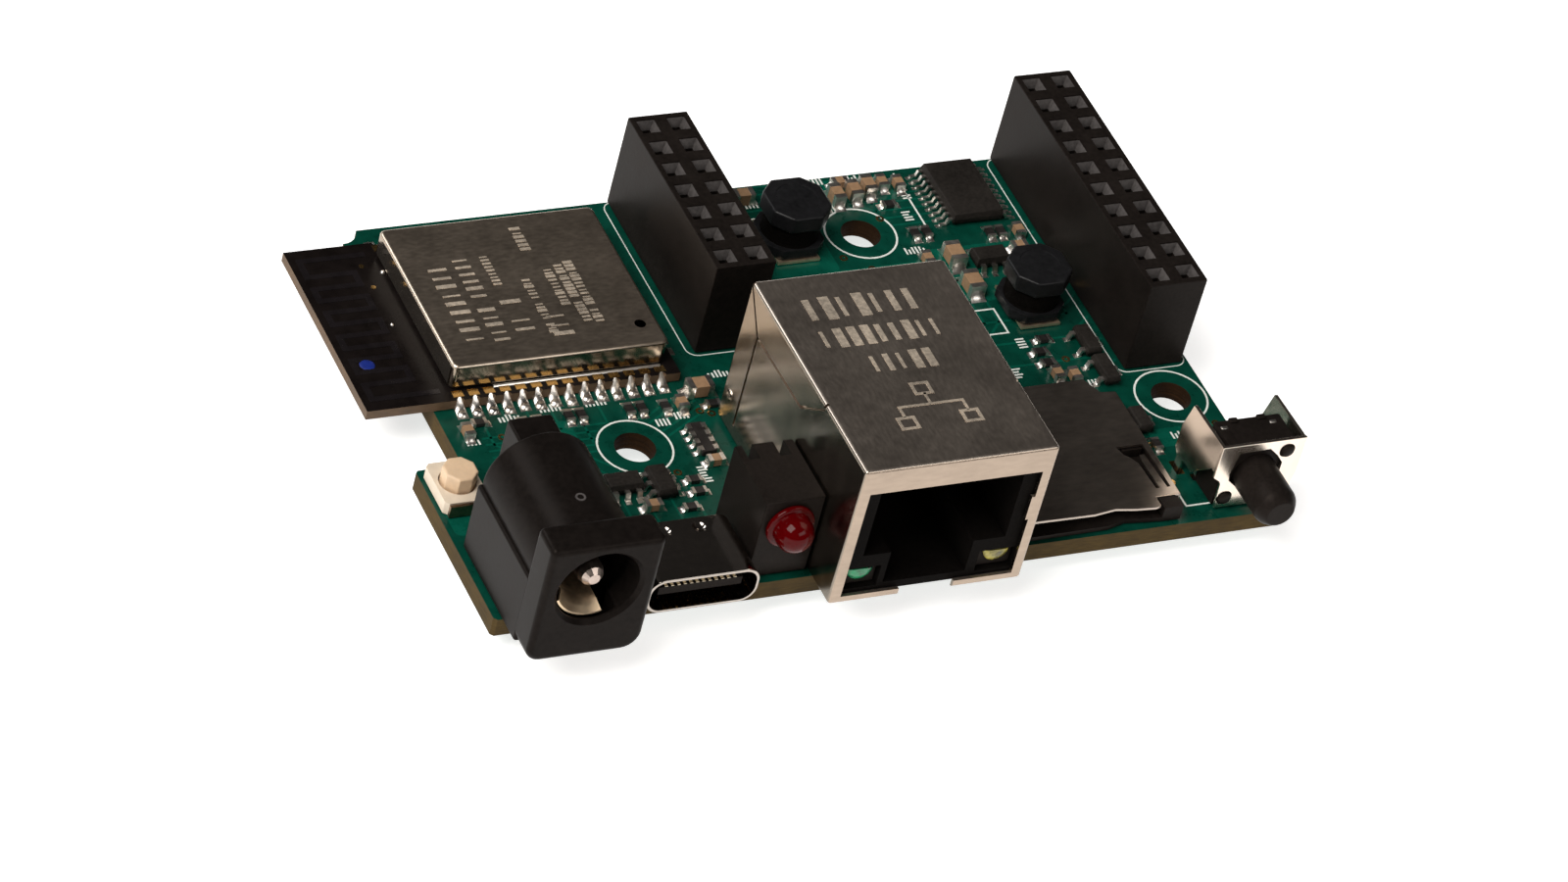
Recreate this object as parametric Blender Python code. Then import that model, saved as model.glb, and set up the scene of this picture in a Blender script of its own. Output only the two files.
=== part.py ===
"""Microcontroller development board with radio module, wired network jack and card socket.

Every sub-part is one closed solid. Sizes are in millimetres, measured from the front left
corner of the circuit board, with z = 0 on its top face. The root empty moves that corner
so that the whole board with its connectors is centred over the origin and its longest
pins stand on z = 0.
"""

import math

import bmesh
import bpy
from mathutils import Matrix, Vector

MM = 0.001

# Circuit board
BOARD_X = 65.3
BOARD_Y = 42.3
BOARD_T = 1.6
CUTAWAY_X = 3.75
CUTAWAY_Y = 16.0
MOUNT_HOLE_R = 1.6
MOUNT_HOLES = ((17.55, 15.5), (45.2, 35.5), (62.1, 13.5))
PIN_DROP = 1.8
PIN_END = -BOARD_T - PIN_DROP
STAND = 0.12

# Radio module
MODULE = (-1.75, 21.8, 23.75, 39.8)
MODULE_TOP = 0.92
CAN = (5.17, 22.9, 22.83, 38.7)
CAN_TOP = 3.22
CAN_WALL = 0.2

# Power jack
JACK_X = 4.93
JACK_FRONT = -4.8
JACK_FLANGE_BACK = -1.9
JACK_BODY_BACK = 7.7
JACK_BORE_Z = 6.7
JACK_BORE_R = 3.2

# USB receptacle
USB_X = 15.5
USB_FRONT = -1.65
USB_BACK = 4.35
USB_W = 8.94
USB_H = 3.2

# Indicator lamp
LAMP_X = 22.6
LAMP_Z = 5.1
LAMP_FRONT = 0.6
LAMP_BACK = 6.9
LAMP_TOP = 7.5

# Network jack
NET_X0 = 25.2
NET_X1 = 41.1
NET_Y0 = -3.26
NET_Y1 = 17.9
NET_TOP = 13.25
NET_WALL = 0.3
NET_MID = 0.5 * (NET_X0 + NET_X1)

# Card socket
CARD_X0 = 42.4
CARD_X1 = 56.8
CARD_Y0 = 0.7
CARD_Y1 = 15.1
CARD_TOP = 1.5

# Side push button
SIDE_X = 62.4
SIDE_Z = 3.1
SIDE_PLATE_Y = 1.0
SIDE_W = 7.3

# Top push button
TOP_X = 2.05
TOP_Y = 13.2
TOP_BASE_TOP = 1.2
TOP_PLUNGER_TOP = 2.5

# Socket strips
PITCH = 2.54
STRIP_TOP = 8.6
STRIP_W = 5.0
STRIP_7 = (28.7, 33.4, 7)
STRIP_10 = (62.1, 29.6, 10)
SOCKET_HALF = 0.5

GLOSS = 0.25


def clear_scene():
    for item in list(bpy.data.objects):
        bpy.data.objects.remove(item, do_unlink=True)


clear_scene()
ROOT = bpy.data.objects.new("board_corner", None)
bpy.context.scene.collection.objects.link(ROOT)
CENTRE_X = 0.5 * (MODULE[0] + SIDE_X + 0.5 * SIDE_W)
CENTRE_Y = 0.5 * (JACK_FRONT + BOARD_Y)
ROOT.location = (-CENTRE_X * MM, -CENTRE_Y * MM, -PIN_END * MM)

MATERIALS = {}


def material(name, color, roughness, metallic=0.0, alpha=1.0):
    mat = bpy.data.materials.new(name)
    mat.use_nodes = True
    shader = mat.node_tree.nodes["Principled BSDF"]
    shader.inputs["Base Color"].default_value = (*color, 1.0)
    shader.inputs["Roughness"].default_value = roughness
    shader.inputs["Metallic"].default_value = metallic
    shader.inputs["Alpha"].default_value = alpha
    mat.diffuse_color = (*color, 1.0)
    MATERIALS[name] = mat
    return mat


def mesh_from(bm, name):
    bmesh.ops.recalc_face_normals(bm, faces=bm.faces)
    mesh = bpy.data.meshes.new(name)
    bm.to_mesh(mesh)
    bm.free()
    return mesh


def add_object(bm, name, color=(0.5, 0.5, 0.5), roughness=0.5, metallic=0.0, smooth=False):
    obj = bpy.data.objects.new(name, mesh_from(bm, name))
    bpy.context.scene.collection.objects.link(obj)
    obj.parent = ROOT
    obj.data.materials.append(material(name, color, roughness, metallic))
    if smooth:
        obj.data.shade_smooth()
        obj.data.set_sharp_from_angle(angle=math.radians(35.0))
    return obj


def add_box(bm, x0, x1, y0, y1, z0, z1):
    corners = [(x, y, z) for z in (z0, z1) for x, y in ((x0, y0), (x1, y0), (x1, y1), (x0, y1))]
    verts = [bm.verts.new(Vector(c) * MM) for c in corners]
    bm.faces.new(verts[0:4][::-1])
    bm.faces.new(verts[4:8])
    for i in range(4):
        j = (i + 1) % 4
        bm.faces.new((verts[i], verts[j], verts[j + 4], verts[i + 4]))


def add_prism(bm, outline, low, high, axis="Z"):
    """Extrudes a closed 2-D outline from low to high along one axis."""

    def place(a, b, c):
        if axis == "Z":
            return Vector((a, b, c)) * MM
        if axis == "Y":
            return Vector((a, c, b)) * MM
        return Vector((c, a, b)) * MM

    bottom = [bm.verts.new(place(a, b, low)) for a, b in outline]
    top = [bm.verts.new(place(a, b, high)) for a, b in outline]
    bm.faces.new(bottom[::-1])
    bm.faces.new(top)
    count = len(outline)
    for i in range(count):
        j = (i + 1) % count
        bm.faces.new((bottom[i], bottom[j], top[j], top[i]))


def circle(cx, cy, radius, steps=24, start=0.0):
    turn = 2.0 * math.pi / steps
    return [
        (cx + radius * math.cos(start + i * turn), cy + radius * math.sin(start + i * turn))
        for i in range(steps)
    ]


def rounded_rect(x0, x1, y0, y1, radii, steps=5):
    """Outline with one radius for each corner: low-low, high-low, high-high, low-high."""
    corners = ((x0, y0, 1, 1, 180), (x1, y0, -1, 1, 270), (x1, y1, -1, -1, 0), (x0, y1, 1, -1, 90))
    points = []
    for (cx, cy, sx, sy, start), radius in zip(corners, radii):
        if radius <= 0:
            points.append((cx, cy))
            continue
        for k in range(steps + 1):
            angle = math.radians(start + 90.0 * k / steps)
            px = cx + sx * radius + radius * math.cos(angle)
            py = cy + sy * radius + radius * math.sin(angle)
            points.append((px, py))
    return points


def chamfered(x0, x1, y0, y1, cut):
    return [
        (x0 + cut, y0), (x1 - cut, y0), (x1, y0 + cut), (x1, y1 - cut),
        (x1 - cut, y1), (x0 + cut, y1), (x0, y1 - cut), (x0, y0 + cut),
    ]


def add_turned(bm, profile, centre, axis="Y", steps=24):
    """Turns (radius, position) pairs about an axis through centre; closes both ends."""
    rings = []
    for radius, pos in profile:
        if radius == 0.0:
            if axis == "Y":
                rings.append([bm.verts.new(Vector((centre[0], pos, centre[1])) * MM)])
            else:
                rings.append([bm.verts.new(Vector((centre[0], centre[1], pos)) * MM)])
            continue
        ring = []
        for a, b in circle(centre[0], centre[1], radius, steps):
            if axis == "Y":
                ring.append(bm.verts.new(Vector((a, pos, b)) * MM))
            else:
                ring.append(bm.verts.new(Vector((a, b, pos)) * MM))
        rings.append(ring)
    for low, high in zip(rings, rings[1:]):
        for i in range(steps):
            j = (i + 1) % steps
            if len(low) == 1:
                bm.faces.new((low[0], high[i], high[j]))
            elif len(high) == 1:
                bm.faces.new((low[i], low[j], high[0]))
            else:
                bm.faces.new((low[i], low[j], high[j], high[i]))
    if len(rings[0]) > 1:
        bm.faces.new(rings[0][::-1])
    if len(rings[-1]) > 1:
        bm.faces.new(rings[-1])


def boolean(target, bm, name, operation="DIFFERENCE"):
    """Adds a Boolean modifier with a hidden helper built from bm."""
    helper = bpy.data.objects.new(name, mesh_from(bm, name))
    bpy.context.scene.collection.objects.link(helper)
    helper.parent = ROOT
    helper.hide_render = True
    helper.display_type = "WIRE"
    modifier = target.modifiers.new(name, "BOOLEAN")
    modifier.operation = operation
    modifier.solver = "EXACT"
    modifier.object = helper


def soften(obj, width, segments=2, angle=40.0):
    modifier = obj.modifiers.new("edges", "BEVEL")
    modifier.width = width * MM
    modifier.segments = segments
    modifier.limit_method = "ANGLE"
    modifier.angle_limit = math.radians(angle)


def shift_origin(obj, point):
    """Moves an object's origin to point, in board millimetres, without moving its shape."""
    offset = Vector(point) * MM
    obj.data.transform(Matrix.Translation(-offset))
    obj.location = offset


# ---------------------------------------------------------------- circuit board

BLACK = (0.022, 0.020, 0.019)
METAL = (0.62, 0.58, 0.53)
GOLD = (0.83, 0.62, 0.28)
SOLDER = (0.72, 0.70, 0.68)
CERAMIC = (0.42, 0.30, 0.19)


def strip_pins(strip):
    centre_x, centre_y, count = strip
    first = centre_y - 0.5 * (count - 1) * PITCH
    columns = (centre_x - 0.5 * PITCH, centre_x + 0.5 * PITCH)
    return [(x, first + k * PITCH) for x in columns for k in range(count)]


NET_PIN_Y = 13.2
NET_PINS = [(NET_MID + 1.27 * (k - 4.5), NET_PIN_Y) for k in range(10)]
NET_POSTS = [(NET_MID + s * 5.7, 5.2) for s in (-1, 1)]
NET_TABS = [(x, 8.6) for x in (NET_X0 + 0.15, NET_X1 - 0.15)]
JACK_LUGS = ((JACK_X, 9.2), (JACK_X, 3.2), (JACK_X + 3.3, 6.2))
USB_LEG_Y = (0.95, 3.4)
USB_LEGS = [(USB_X + s * (0.5 * USB_W - 0.15), y) for s in (-1, 1) for y in USB_LEG_Y]
LAMP_LEADS = [(LAMP_X + s * 0.5 * PITCH, 6.2) for s in (-1, 1)]
SIDE_LEGS = [(SIDE_X + s * (0.5 * SIDE_W - 0.15), 5.9) for s in (-1, 1)]
SIDE_TERMINALS = [(SIDE_X + s * 2.25, 4.65) for s in (-1, 1)]


def notch_outline():
    corner = [(CUTAWAY_X, 41.0)]
    for k in range(1, 6):
        angle = math.radians(270.0 + 90.0 * k / 6.0)
        corner.append((CUTAWAY_X + 1.45 * math.cos(angle), BOARD_Y + 1.3 * math.sin(angle)))
    corner.append((CUTAWAY_X + 1.55, BOARD_Y))
    return corner


board_outline = [(0.25, 0.0), (BOARD_X - 0.25, 0.0), (BOARD_X, 0.25), (BOARD_X, BOARD_Y - 0.25)]
board_outline += [(BOARD_X - 0.25, BOARD_Y)] + notch_outline()[::-1]
board_outline += [(CUTAWAY_X, CUTAWAY_Y), (0.2, CUTAWAY_Y), (0.0, CUTAWAY_Y - 0.2), (0.0, 0.25)]
bm = bmesh.new()
add_prism(bm, board_outline, -BOARD_T, 0.0)
main_board = add_object(bm, "main_board", (0.004, 0.085, 0.055), 0.32)

bm = bmesh.new()
for x, y in MOUNT_HOLES:
    add_prism(bm, circle(x, y, MOUNT_HOLE_R, 36), -BOARD_T - 1.0, 1.0)
for x, y in NET_POSTS:
    add_prism(bm, circle(x, y, 1.65, 20), -BOARD_T - 1.0, 1.0)
for x, y in strip_pins(STRIP_7) + strip_pins(STRIP_10):
    add_prism(bm, circle(x, y, 0.56, 8, math.pi / 8), -BOARD_T - 1.0, 1.0)
for x, y in NET_PINS:
    add_prism(bm, circle(x, y, 0.42, 8, math.pi / 8), -BOARD_T - 1.0, 1.0)
for x, y in LAMP_LEADS:
    add_prism(bm, circle(x, y, 0.5, 8, math.pi / 8), -BOARD_T - 1.0, 1.0)
for x, y in JACK_LUGS:
    add_box(bm, x - 1.35, x + 1.35, y - 0.45, y + 0.45, -BOARD_T - 1.0, 1.0)
for x, y in NET_TABS + USB_LEGS + SIDE_LEGS:
    add_box(bm, x - 0.35, x + 0.35, y - 0.75, y + 0.75, -BOARD_T - 1.0, 1.0)
for x, y in SIDE_TERMINALS:
    add_box(bm, x - 0.6, x + 0.6, y - 0.35, y + 0.35, -BOARD_T - 1.0, 1.0)
boolean(main_board, bm, "board_holes_cutter")

# ---------------------------------------------------------------- radio module

bm = bmesh.new()
x0, y0, x1, y1 = MODULE
add_box(bm, x0, x1, y0, y1, STAND, MODULE_TOP)
module_board = add_object(bm, "module_board", (0.028, 0.022, 0.02), 0.45)
bm = bmesh.new()
for k in range(14):
    for y in (y0, y1):
        add_prism(bm, circle(x0 + 7.5 + 1.27 * k, y, 0.3, 8, math.pi / 8), -0.5, 2.0)
for k in range(10):
    add_prism(bm, circle(x1, y0 + 3.3 + 1.27 * k, 0.3, 8, math.pi / 8), -0.5, 2.0)
boolean(module_board, bm, "module_edge_cutter")

bm = bmesh.new()
x0, y0, x1, y1 = CAN
add_prism(bm, rounded_rect(x0, x1, y0, y1, (0.5,) * 4, 4), MODULE_TOP + 0.1, CAN_TOP)
module_can = add_object(bm, "module_can", METAL, 0.3, 1.0)
bm = bmesh.new()
inner = rounded_rect(x0 + CAN_WALL, x1 - CAN_WALL, y0 + CAN_WALL, y1 - CAN_WALL, (0.35,) * 4, 4)
add_prism(bm, inner, MODULE_TOP - 1.0, CAN_TOP - CAN_WALL)
boolean(module_can, bm, "can_inside_cutter")
bm = bmesh.new()
add_prism(bm, circle(21.3, 25.2, 0.45, 12), CAN_TOP - 1.0, CAN_TOP + 1.0)
boolean(module_can, bm, "can_vent_cutter")

module_inside = (
    ("module_processor_chip", 12.4, 30.8, 2.5, 2.5, 0.9),
    ("module_memory_chip", 18.8, 31.5, 2.0, 2.7, 0.9),
)
for name, x, y, half_x, half_y, height in module_inside:
    bm = bmesh.new()
    z0 = MODULE_TOP + 0.1
    add_box(bm, x - half_x, x + half_x, y - half_y, y + half_y, z0, z0 + height)
    add_object(bm, name, BLACK, 0.45)

# ---------------------------------------------------------------- power jack

half = 4.475
bm = bmesh.new()
flange = rounded_rect(JACK_X - half, JACK_X + half, STAND, 11.0, (0.9, 1.4, 0.35, 0.35), 4)
add_prism(bm, flange, JACK_FRONT, JACK_FLANGE_BACK, "Y")
jack_housing = add_object(bm, "jack_housing", BLACK, 0.55)
bm = bmesh.new()
add_box(bm, JACK_X - half, JACK_X + half, JACK_FLANGE_BACK - 0.5, JACK_BODY_BACK, STAND, 6.3)
boolean(jack_housing, bm, "jack_box_part", "UNION")
bm = bmesh.new()
add_prism(bm, circle(JACK_X, 6.55, 4.2, 40), JACK_FLANGE_BACK - 0.4, JACK_BODY_BACK + 0.0002, "Y")
boolean(jack_housing, bm, "jack_barrel_part", "UNION")
bm = bmesh.new()
add_box(bm, JACK_X - 1.75, JACK_X + 1.75, JACK_BODY_BACK - 1.5, 10.4, STAND + 0.5, 9.75)
boolean(jack_housing, bm, "jack_rear_block", "UNION")
bm = bmesh.new()
add_prism(bm, circle(JACK_X, JACK_BORE_Z, JACK_BORE_R, 36), JACK_FRONT - 1.0, 5.2, "Y")
boolean(jack_housing, bm, "jack_bore_cutter")
bm = bmesh.new()
add_box(bm, JACK_X - 2.9, JACK_X + 2.0, JACK_FRONT + 0.5, 4.0, 2.6, 5.6)
boolean(jack_housing, bm, "jack_spring_pocket_cutter")
bm = bmesh.new()
add_box(bm, JACK_X - 1.3, JACK_X + 1.3, 2.7, 3.7, -1.0, 3.0)
boolean(jack_housing, bm, "jack_spring_lug_cutter")
bm = bmesh.new()
add_prism(bm, circle(JACK_X, JACK_BORE_Z, 1.2, 20), 4.0, 11.0, "Y")
boolean(jack_housing, bm, "jack_pin_cutter")
bm = bmesh.new()
add_box(bm, JACK_X - 1.2, JACK_X + 1.2, 8.7, 9.7, -1.0, JACK_BORE_Z)
boolean(jack_housing, bm, "jack_lug_cutter")
bm = bmesh.new()
add_box(bm, JACK_X + 2.3, 12.0, 5.7, 6.7, -1.0, 4.4)
boolean(jack_housing, bm, "jack_switch_cutter")

bm = bmesh.new()
pin = [(0.0, -3.8), (0.45, -3.75), (0.85, -3.4), (1.0, -2.9), (1.0, 9.9), (0.6, 10.2), (0.0, 10.25)]
add_turned(bm, pin, (JACK_X, JACK_BORE_Z), "Y", 20)
jack_pin = add_object(bm, "jack_centre_pin", METAL, 0.2, 1.0, smooth=True)
bm = bmesh.new()
add_box(bm, JACK_X - 1.0, JACK_X + 1.0, 9.0, 9.4, PIN_END, JACK_BORE_Z - 0.2)
boolean(jack_pin, bm, "jack_pin_lug", "UNION")

bm = bmesh.new()
spring = [
    (-4.1, 3.0), (-3.6, 3.65), (-2.0, 3.95), (1.6, 3.3), (3.35, 3.2), (3.35, PIN_END), (3.05, PIN_END),
    (3.05, 2.9), (1.6, 3.0), (-2.0, 3.65), (-3.5, 3.35), (-3.85, 2.85),
]
add_prism(bm, spring, JACK_X - 1.0, JACK_X + 1.0, "X")
jack_spring = add_object(bm, "jack_sleeve_spring", METAL, 0.25, 1.0)
bm = bmesh.new()
blade = [(-3.6, 3.65), (-2.0, 3.95), (1.6, 3.3), (1.6, 3.0), (-2.0, 3.65), (-3.5, 3.35)]
add_prism(bm, blade, JACK_X - 2.6, JACK_X + 1.75, "X")
boolean(jack_spring, bm, "jack_spring_blade", "UNION")
bm = bmesh.new()
add_box(bm, JACK_X - 2.6, JACK_X - 2.35, -3.3, 1.2, 3.3, 5.4)
boolean(jack_spring, bm, "jack_spring_side", "UNION")

bm = bmesh.new()
add_box(bm, JACK_X + 2.5, JACK_X + 4.2, 6.0, 6.4, PIN_END, 4.1)
add_object(bm, "jack_switch_contact", METAL, 0.3, 1.0)

# ---------------------------------------------------------------- USB receptacle

half = 0.5 * USB_W
bm = bmesh.new()
outer = rounded_rect(USB_X - half, USB_X + half, STAND, STAND + USB_H, (1.3,) * 4, 6)
add_prism(bm, outer, USB_FRONT, USB_BACK, "Y")
usb_shell = add_object(bm, "usb_shell", METAL, 0.15, 1.0)
bm = bmesh.new()
for x, y in USB_LEGS:
    add_box(bm, x - 0.15, x + 0.15, y - 0.5, y + 0.5, -BOARD_T - 0.25, 1.6)
boolean(usb_shell, bm, "usb_leg_parts", "UNION")
bm = bmesh.new()
inner = rounded_rect(
    USB_X - half + 0.3, USB_X + half - 0.3, STAND + 0.3, STAND + USB_H - 0.3, (1.0,) * 4, 6
)
add_prism(bm, inner, USB_FRONT - 1.0, USB_BACK - 0.3, "Y")
boolean(usb_shell, bm, "usb_inside_cutter")

usb_mid = STAND + 0.5 * USB_H
bm = bmesh.new()
core = rounded_rect(USB_X - half + 0.4, USB_X + half - 0.4, STAND + 0.4, STAND + USB_H - 0.4, (0.9,) * 4, 4)
add_prism(bm, core, 2.2, USB_BACK - 0.4, "Y")
usb_tongue = add_object(bm, "usb_tongue", BLACK, 0.5)
bm = bmesh.new()
add_box(bm, USB_X - 3.35, USB_X + 3.35, USB_FRONT + 0.6, 2.6, usb_mid - 0.35, usb_mid + 0.35)
boolean(usb_tongue, bm, "usb_blade_part", "UNION")

for name, side in (("usb_contacts_top", 1), ("usb_contacts_bottom", -1)):
    bm = bmesh.new()
    z0, z1 = sorted((usb_mid + side * 0.45, usb_mid + side * 0.57))
    add_box(bm, USB_X - 3.1, USB_X + 3.1, 1.7, 2.05, z0, z1)
    contacts = add_object(bm, name, GOLD, 0.25, 1.0)
    bm = bmesh.new()
    for k in range(12):
        x = USB_X + 0.5 * (k - 5.5)
        add_box(bm, x - 0.12, x + 0.12, USB_FRONT + 0.9, 1.9, z0, z1)
    boolean(contacts, bm, name + "_fingers", "UNION")

# ---------------------------------------------------------------- indicator lamp

bm = bmesh.new()
add_box(bm, LAMP_X - 2.3, LAMP_X + 2.5, LAMP_FRONT, LAMP_BACK, STAND, LAMP_TOP)
lamp_holder = add_object(bm, "lamp_holder", BLACK, 0.6)
bm = bmesh.new()
add_prism(bm, circle(LAMP_X, LAMP_Z, 1.62, 28), LAMP_FRONT - 1.0, 4.6, "Y")
boolean(lamp_holder, bm, "lamp_bore_cutter")
bm = bmesh.new()
for x, y in LAMP_LEADS:
    add_box(bm, x - 0.45, x + 0.45, 5.3, LAMP_BACK + 1.0, -1.0, LAMP_TOP + 1.0)
boolean(lamp_holder, bm, "lamp_groove_cutter")
bm = bmesh.new()
for x, y in LAMP_LEADS:
    add_box(bm, x - 0.45, x + 0.45, 4.0, 5.8, LAMP_Z - 0.45, LAMP_Z + 0.45)
boolean(lamp_holder, bm, "lamp_channel_cutter")

bm = bmesh.new()
dome = [(0.0, -1.84)]
for k in range(1, 7):
    angle = math.radians(15.0 * k)
    dome.append((1.5 * math.sin(angle), -0.34 - 1.5 * math.cos(angle)))
dome += [(1.5, 0.18), (1.9, 0.18), (1.9, LAMP_FRONT - 0.06), (1.5, LAMP_FRONT - 0.06), (1.5, 4.3)]
add_turned(bm, dome, (LAMP_X, LAMP_Z), "Y", 24)
lamp_lens = add_object(bm, "lamp_lens", (0.55, 0.01, 0.012), 0.12, smooth=True)

for name, (x, y) in zip(("lamp_lead_left", "lamp_lead_right"), LAMP_LEADS):
    bm = bmesh.new()
    bend = [
        (4.4, LAMP_Z - 0.22), (5.98, LAMP_Z - 0.22), (5.98, PIN_END), (6.42, PIN_END),
        (6.42, LAMP_Z + 0.22), (4.4, LAMP_Z + 0.22),
    ]
    add_prism(bm, bend, x - 0.22, x + 0.22, "X")
    add_object(bm, name, SOLDER, 0.3, 1.0)

# ---------------------------------------------------------------- network jack

bm = bmesh.new()
add_box(bm, NET_X0, NET_X1, NET_Y0, NET_Y1, STAND, NET_TOP)
net_shield = add_object(bm, "network_shield", METAL, 0.3, 1.0)
bm = bmesh.new()
for x, y in NET_TABS:
    add_box(bm, x - 0.15, x + 0.15, y - 0.55, y + 0.55, PIN_END, 2.0)
boolean(net_shield, bm, "network_tab_parts", "UNION")
bm = bmesh.new()
add_box(
    bm, NET_X0 + NET_WALL, NET_X1 - NET_WALL, NET_Y0 + NET_WALL, NET_Y1 - NET_WALL,
    STAND - 4.0, NET_TOP - NET_WALL,
)
boolean(net_shield, bm, "network_inside_cutter")
bm = bmesh.new()
mouth = [
    (26.1, 0.8), (30.9, 0.8), (30.9, -1.0), (35.4, -1.0), (35.4, 0.8), (40.2, 0.8),
    (40.2, 10.95), (26.1, 10.95),
]
add_prism(bm, mouth, NET_Y0 - 1.0, NET_Y0 + 1.0, "Y")
boolean(net_shield, bm, "network_mouth_cutter")

bm = bmesh.new()
add_box(bm, NET_X0 + 0.4, NET_X1 - 0.4, NET_Y0 + 0.42, 11.4, 0.6, NET_TOP - 0.4)
net_housing = add_object(bm, "network_housing", BLACK, 0.55)
bm = bmesh.new()
for x, y in NET_POSTS:
    add_prism(bm, circle(x, y, 1.5, 20), -BOARD_T - 1.0, 0.9)
boolean(net_housing, bm, "network_post_parts", "UNION")
bm = bmesh.new()
add_box(bm, NET_MID - 5.85, NET_MID + 5.85, NET_Y0 - 1.0, 9.6, 4.3, 10.9)
boolean(net_housing, bm, "network_plug_cutter")
bm = bmesh.new()
add_box(bm, 29.6, 36.4, NET_Y0 - 1.0, 6.5, 1.3, 4.5)
boolean(net_housing, bm, "network_latch_cutter")
bm = bmesh.new()
add_box(bm, 26.0, 29.1, NET_Y0 - 1.0, 4.0, 1.1, 3.1)
add_box(bm, 37.2, 40.3, NET_Y0 - 1.0, 4.0, 1.1, 3.1)
boolean(net_housing, bm, "network_lamp_cutter")

for name, x0, x1, color in (
    ("network_lamp_green", 26.1, 29.0, (0.01, 0.35, 0.12)),
    ("network_lamp_yellow", 37.3, 40.2, (0.65, 0.48, 0.05)),
):
    bm = bmesh.new()
    add_box(bm, x0, x1, NET_Y0 + 0.5, 3.8, 1.2, 3.0)
    add_object(bm, name, color, 0.2)

bm = bmesh.new()
add_box(bm, NET_MID - 4.2, NET_MID + 4.2, 8.9, 9.4, 9.6, 10.7)
net_contacts = add_object(bm, "network_contacts", GOLD, 0.25, 1.0)
bm = bmesh.new()
for k in range(8):
    x = NET_MID + 1.02 * (k - 3.5)
    wire = [(9.1, 10.3), (1.0, 9.1), (0.4, 9.7), (0.4, 10.1), (1.0, 9.5), (9.1, 10.7)]
    add_prism(bm, wire, x - 0.22, x + 0.22, "X")
boolean(net_contacts, bm, "network_contact_wires", "UNION")

bm = bmesh.new()
add_box(bm, NET_X0 + 0.8, NET_X1 - 0.8, 11.8, NET_Y1 - 0.7, 0.9, NET_TOP - 0.8)
add_object(bm, "network_magnetics", BLACK, 0.5)

bm = bmesh.new()
add_box(bm, NET_MID - 6.2, NET_MID + 6.2, NET_PIN_Y - 0.25, NET_PIN_Y + 0.25, 0.25, 0.65)
net_pins = add_object(bm, "network_pins", SOLDER, 0.3, 1.0)
bm = bmesh.new()
for x, y in NET_PINS:
    add_box(bm, x - 0.22, x + 0.22, y - 0.22, y + 0.22, PIN_END, 0.45)
boolean(net_pins, bm, "network_pin_parts", "UNION")

# ---------------------------------------------------------------- card socket

card_outline = [
    (CARD_X0, CARD_Y0), (49.0, CARD_Y0), (50.9, 1.05), (54.7, 0.62), (54.7, 1.7), (CARD_X1, 1.7),
    (CARD_X1, 13.4), (55.5, 13.5), (54.8, CARD_Y1), (CARD_X0, CARD_Y1),
]
bm = bmesh.new()
add_prism(bm, card_outline, STAND, CARD_TOP)
card_cover = add_object(bm, "card_cover", METAL, 0.3, 1.0)
bm = bmesh.new()
add_box(bm, CARD_X0 + 0.2, CARD_X1 - 0.2, -2.0, 13.2, -1.0, CARD_TOP - 0.2)
boolean(card_cover, bm, "card_inside_cutter")
bm = bmesh.new()
latch = [
    (54.35, 7.25), (54.7, 6.9), (55.0, 6.4), (55.15, 2.6), (55.45, 2.6), (55.4, 6.6), (55.9, 6.6),
    (56.1, 2.6), (56.4, 2.6), (56.25, 7.25),
]
add_prism(bm, latch, 1.0, 3.0)
boolean(card_cover, bm, "card_latch_cutter")

bm = bmesh.new()
add_box(bm, CARD_X0 + 0.35, CARD_X1 - 0.35, 1.3, 13.0, STAND, 0.42)
card_base = add_object(bm, "card_base", BLACK, 0.55)
bm = bmesh.new()
lip = [
    (CARD_X0 + 0.5, 0.25), (50.2, 0.35), (51.8, 0.75), (54.85, 0.45), (54.85, 1.5),
    (CARD_X0 + 0.5, 1.5),
]
add_prism(bm, lip, STAND, 0.5)
boolean(card_base, bm, "card_lip_part", "UNION")
bm = bmesh.new()
add_box(bm, 54.85, CARD_X1 - 0.35, 0.45, 1.6, STAND, CARD_TOP - 0.05)
boolean(card_base, bm, "card_corner_part", "UNION")

bm = bmesh.new()
add_box(bm, 44.4, 53.4, 11.6, 12.4, 0.52, 0.7)
card_contacts = add_object(bm, "card_contacts", GOLD, 0.3, 1.0)
bm = bmesh.new()
for k in range(8):
    x = 44.9 + 1.1 * k
    leaf = [(11.9, 0.52), (6.2, 0.9), (5.6, 0.78), (5.6, 0.9), (6.2, 1.02), (11.9, 0.7)]
    add_prism(bm, leaf, x - 0.3, x + 0.3, "X")
boolean(card_contacts, bm, "card_leaf_parts", "UNION")

bm = bmesh.new()
slider = [(54.5, 7.2), (56.2, 7.2), (56.2, 10.4), (53.8, 10.4), (53.8, 9.4), (54.5, 9.4)]
add_prism(bm, slider, 0.52, 1.18)
card_slider = add_object(bm, "card_slider", (0.05, 0.05, 0.05), 0.5)
shift_origin(card_slider, (55.35, 8.8, 0.85))

# ---------------------------------------------------------------- side push button

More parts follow.
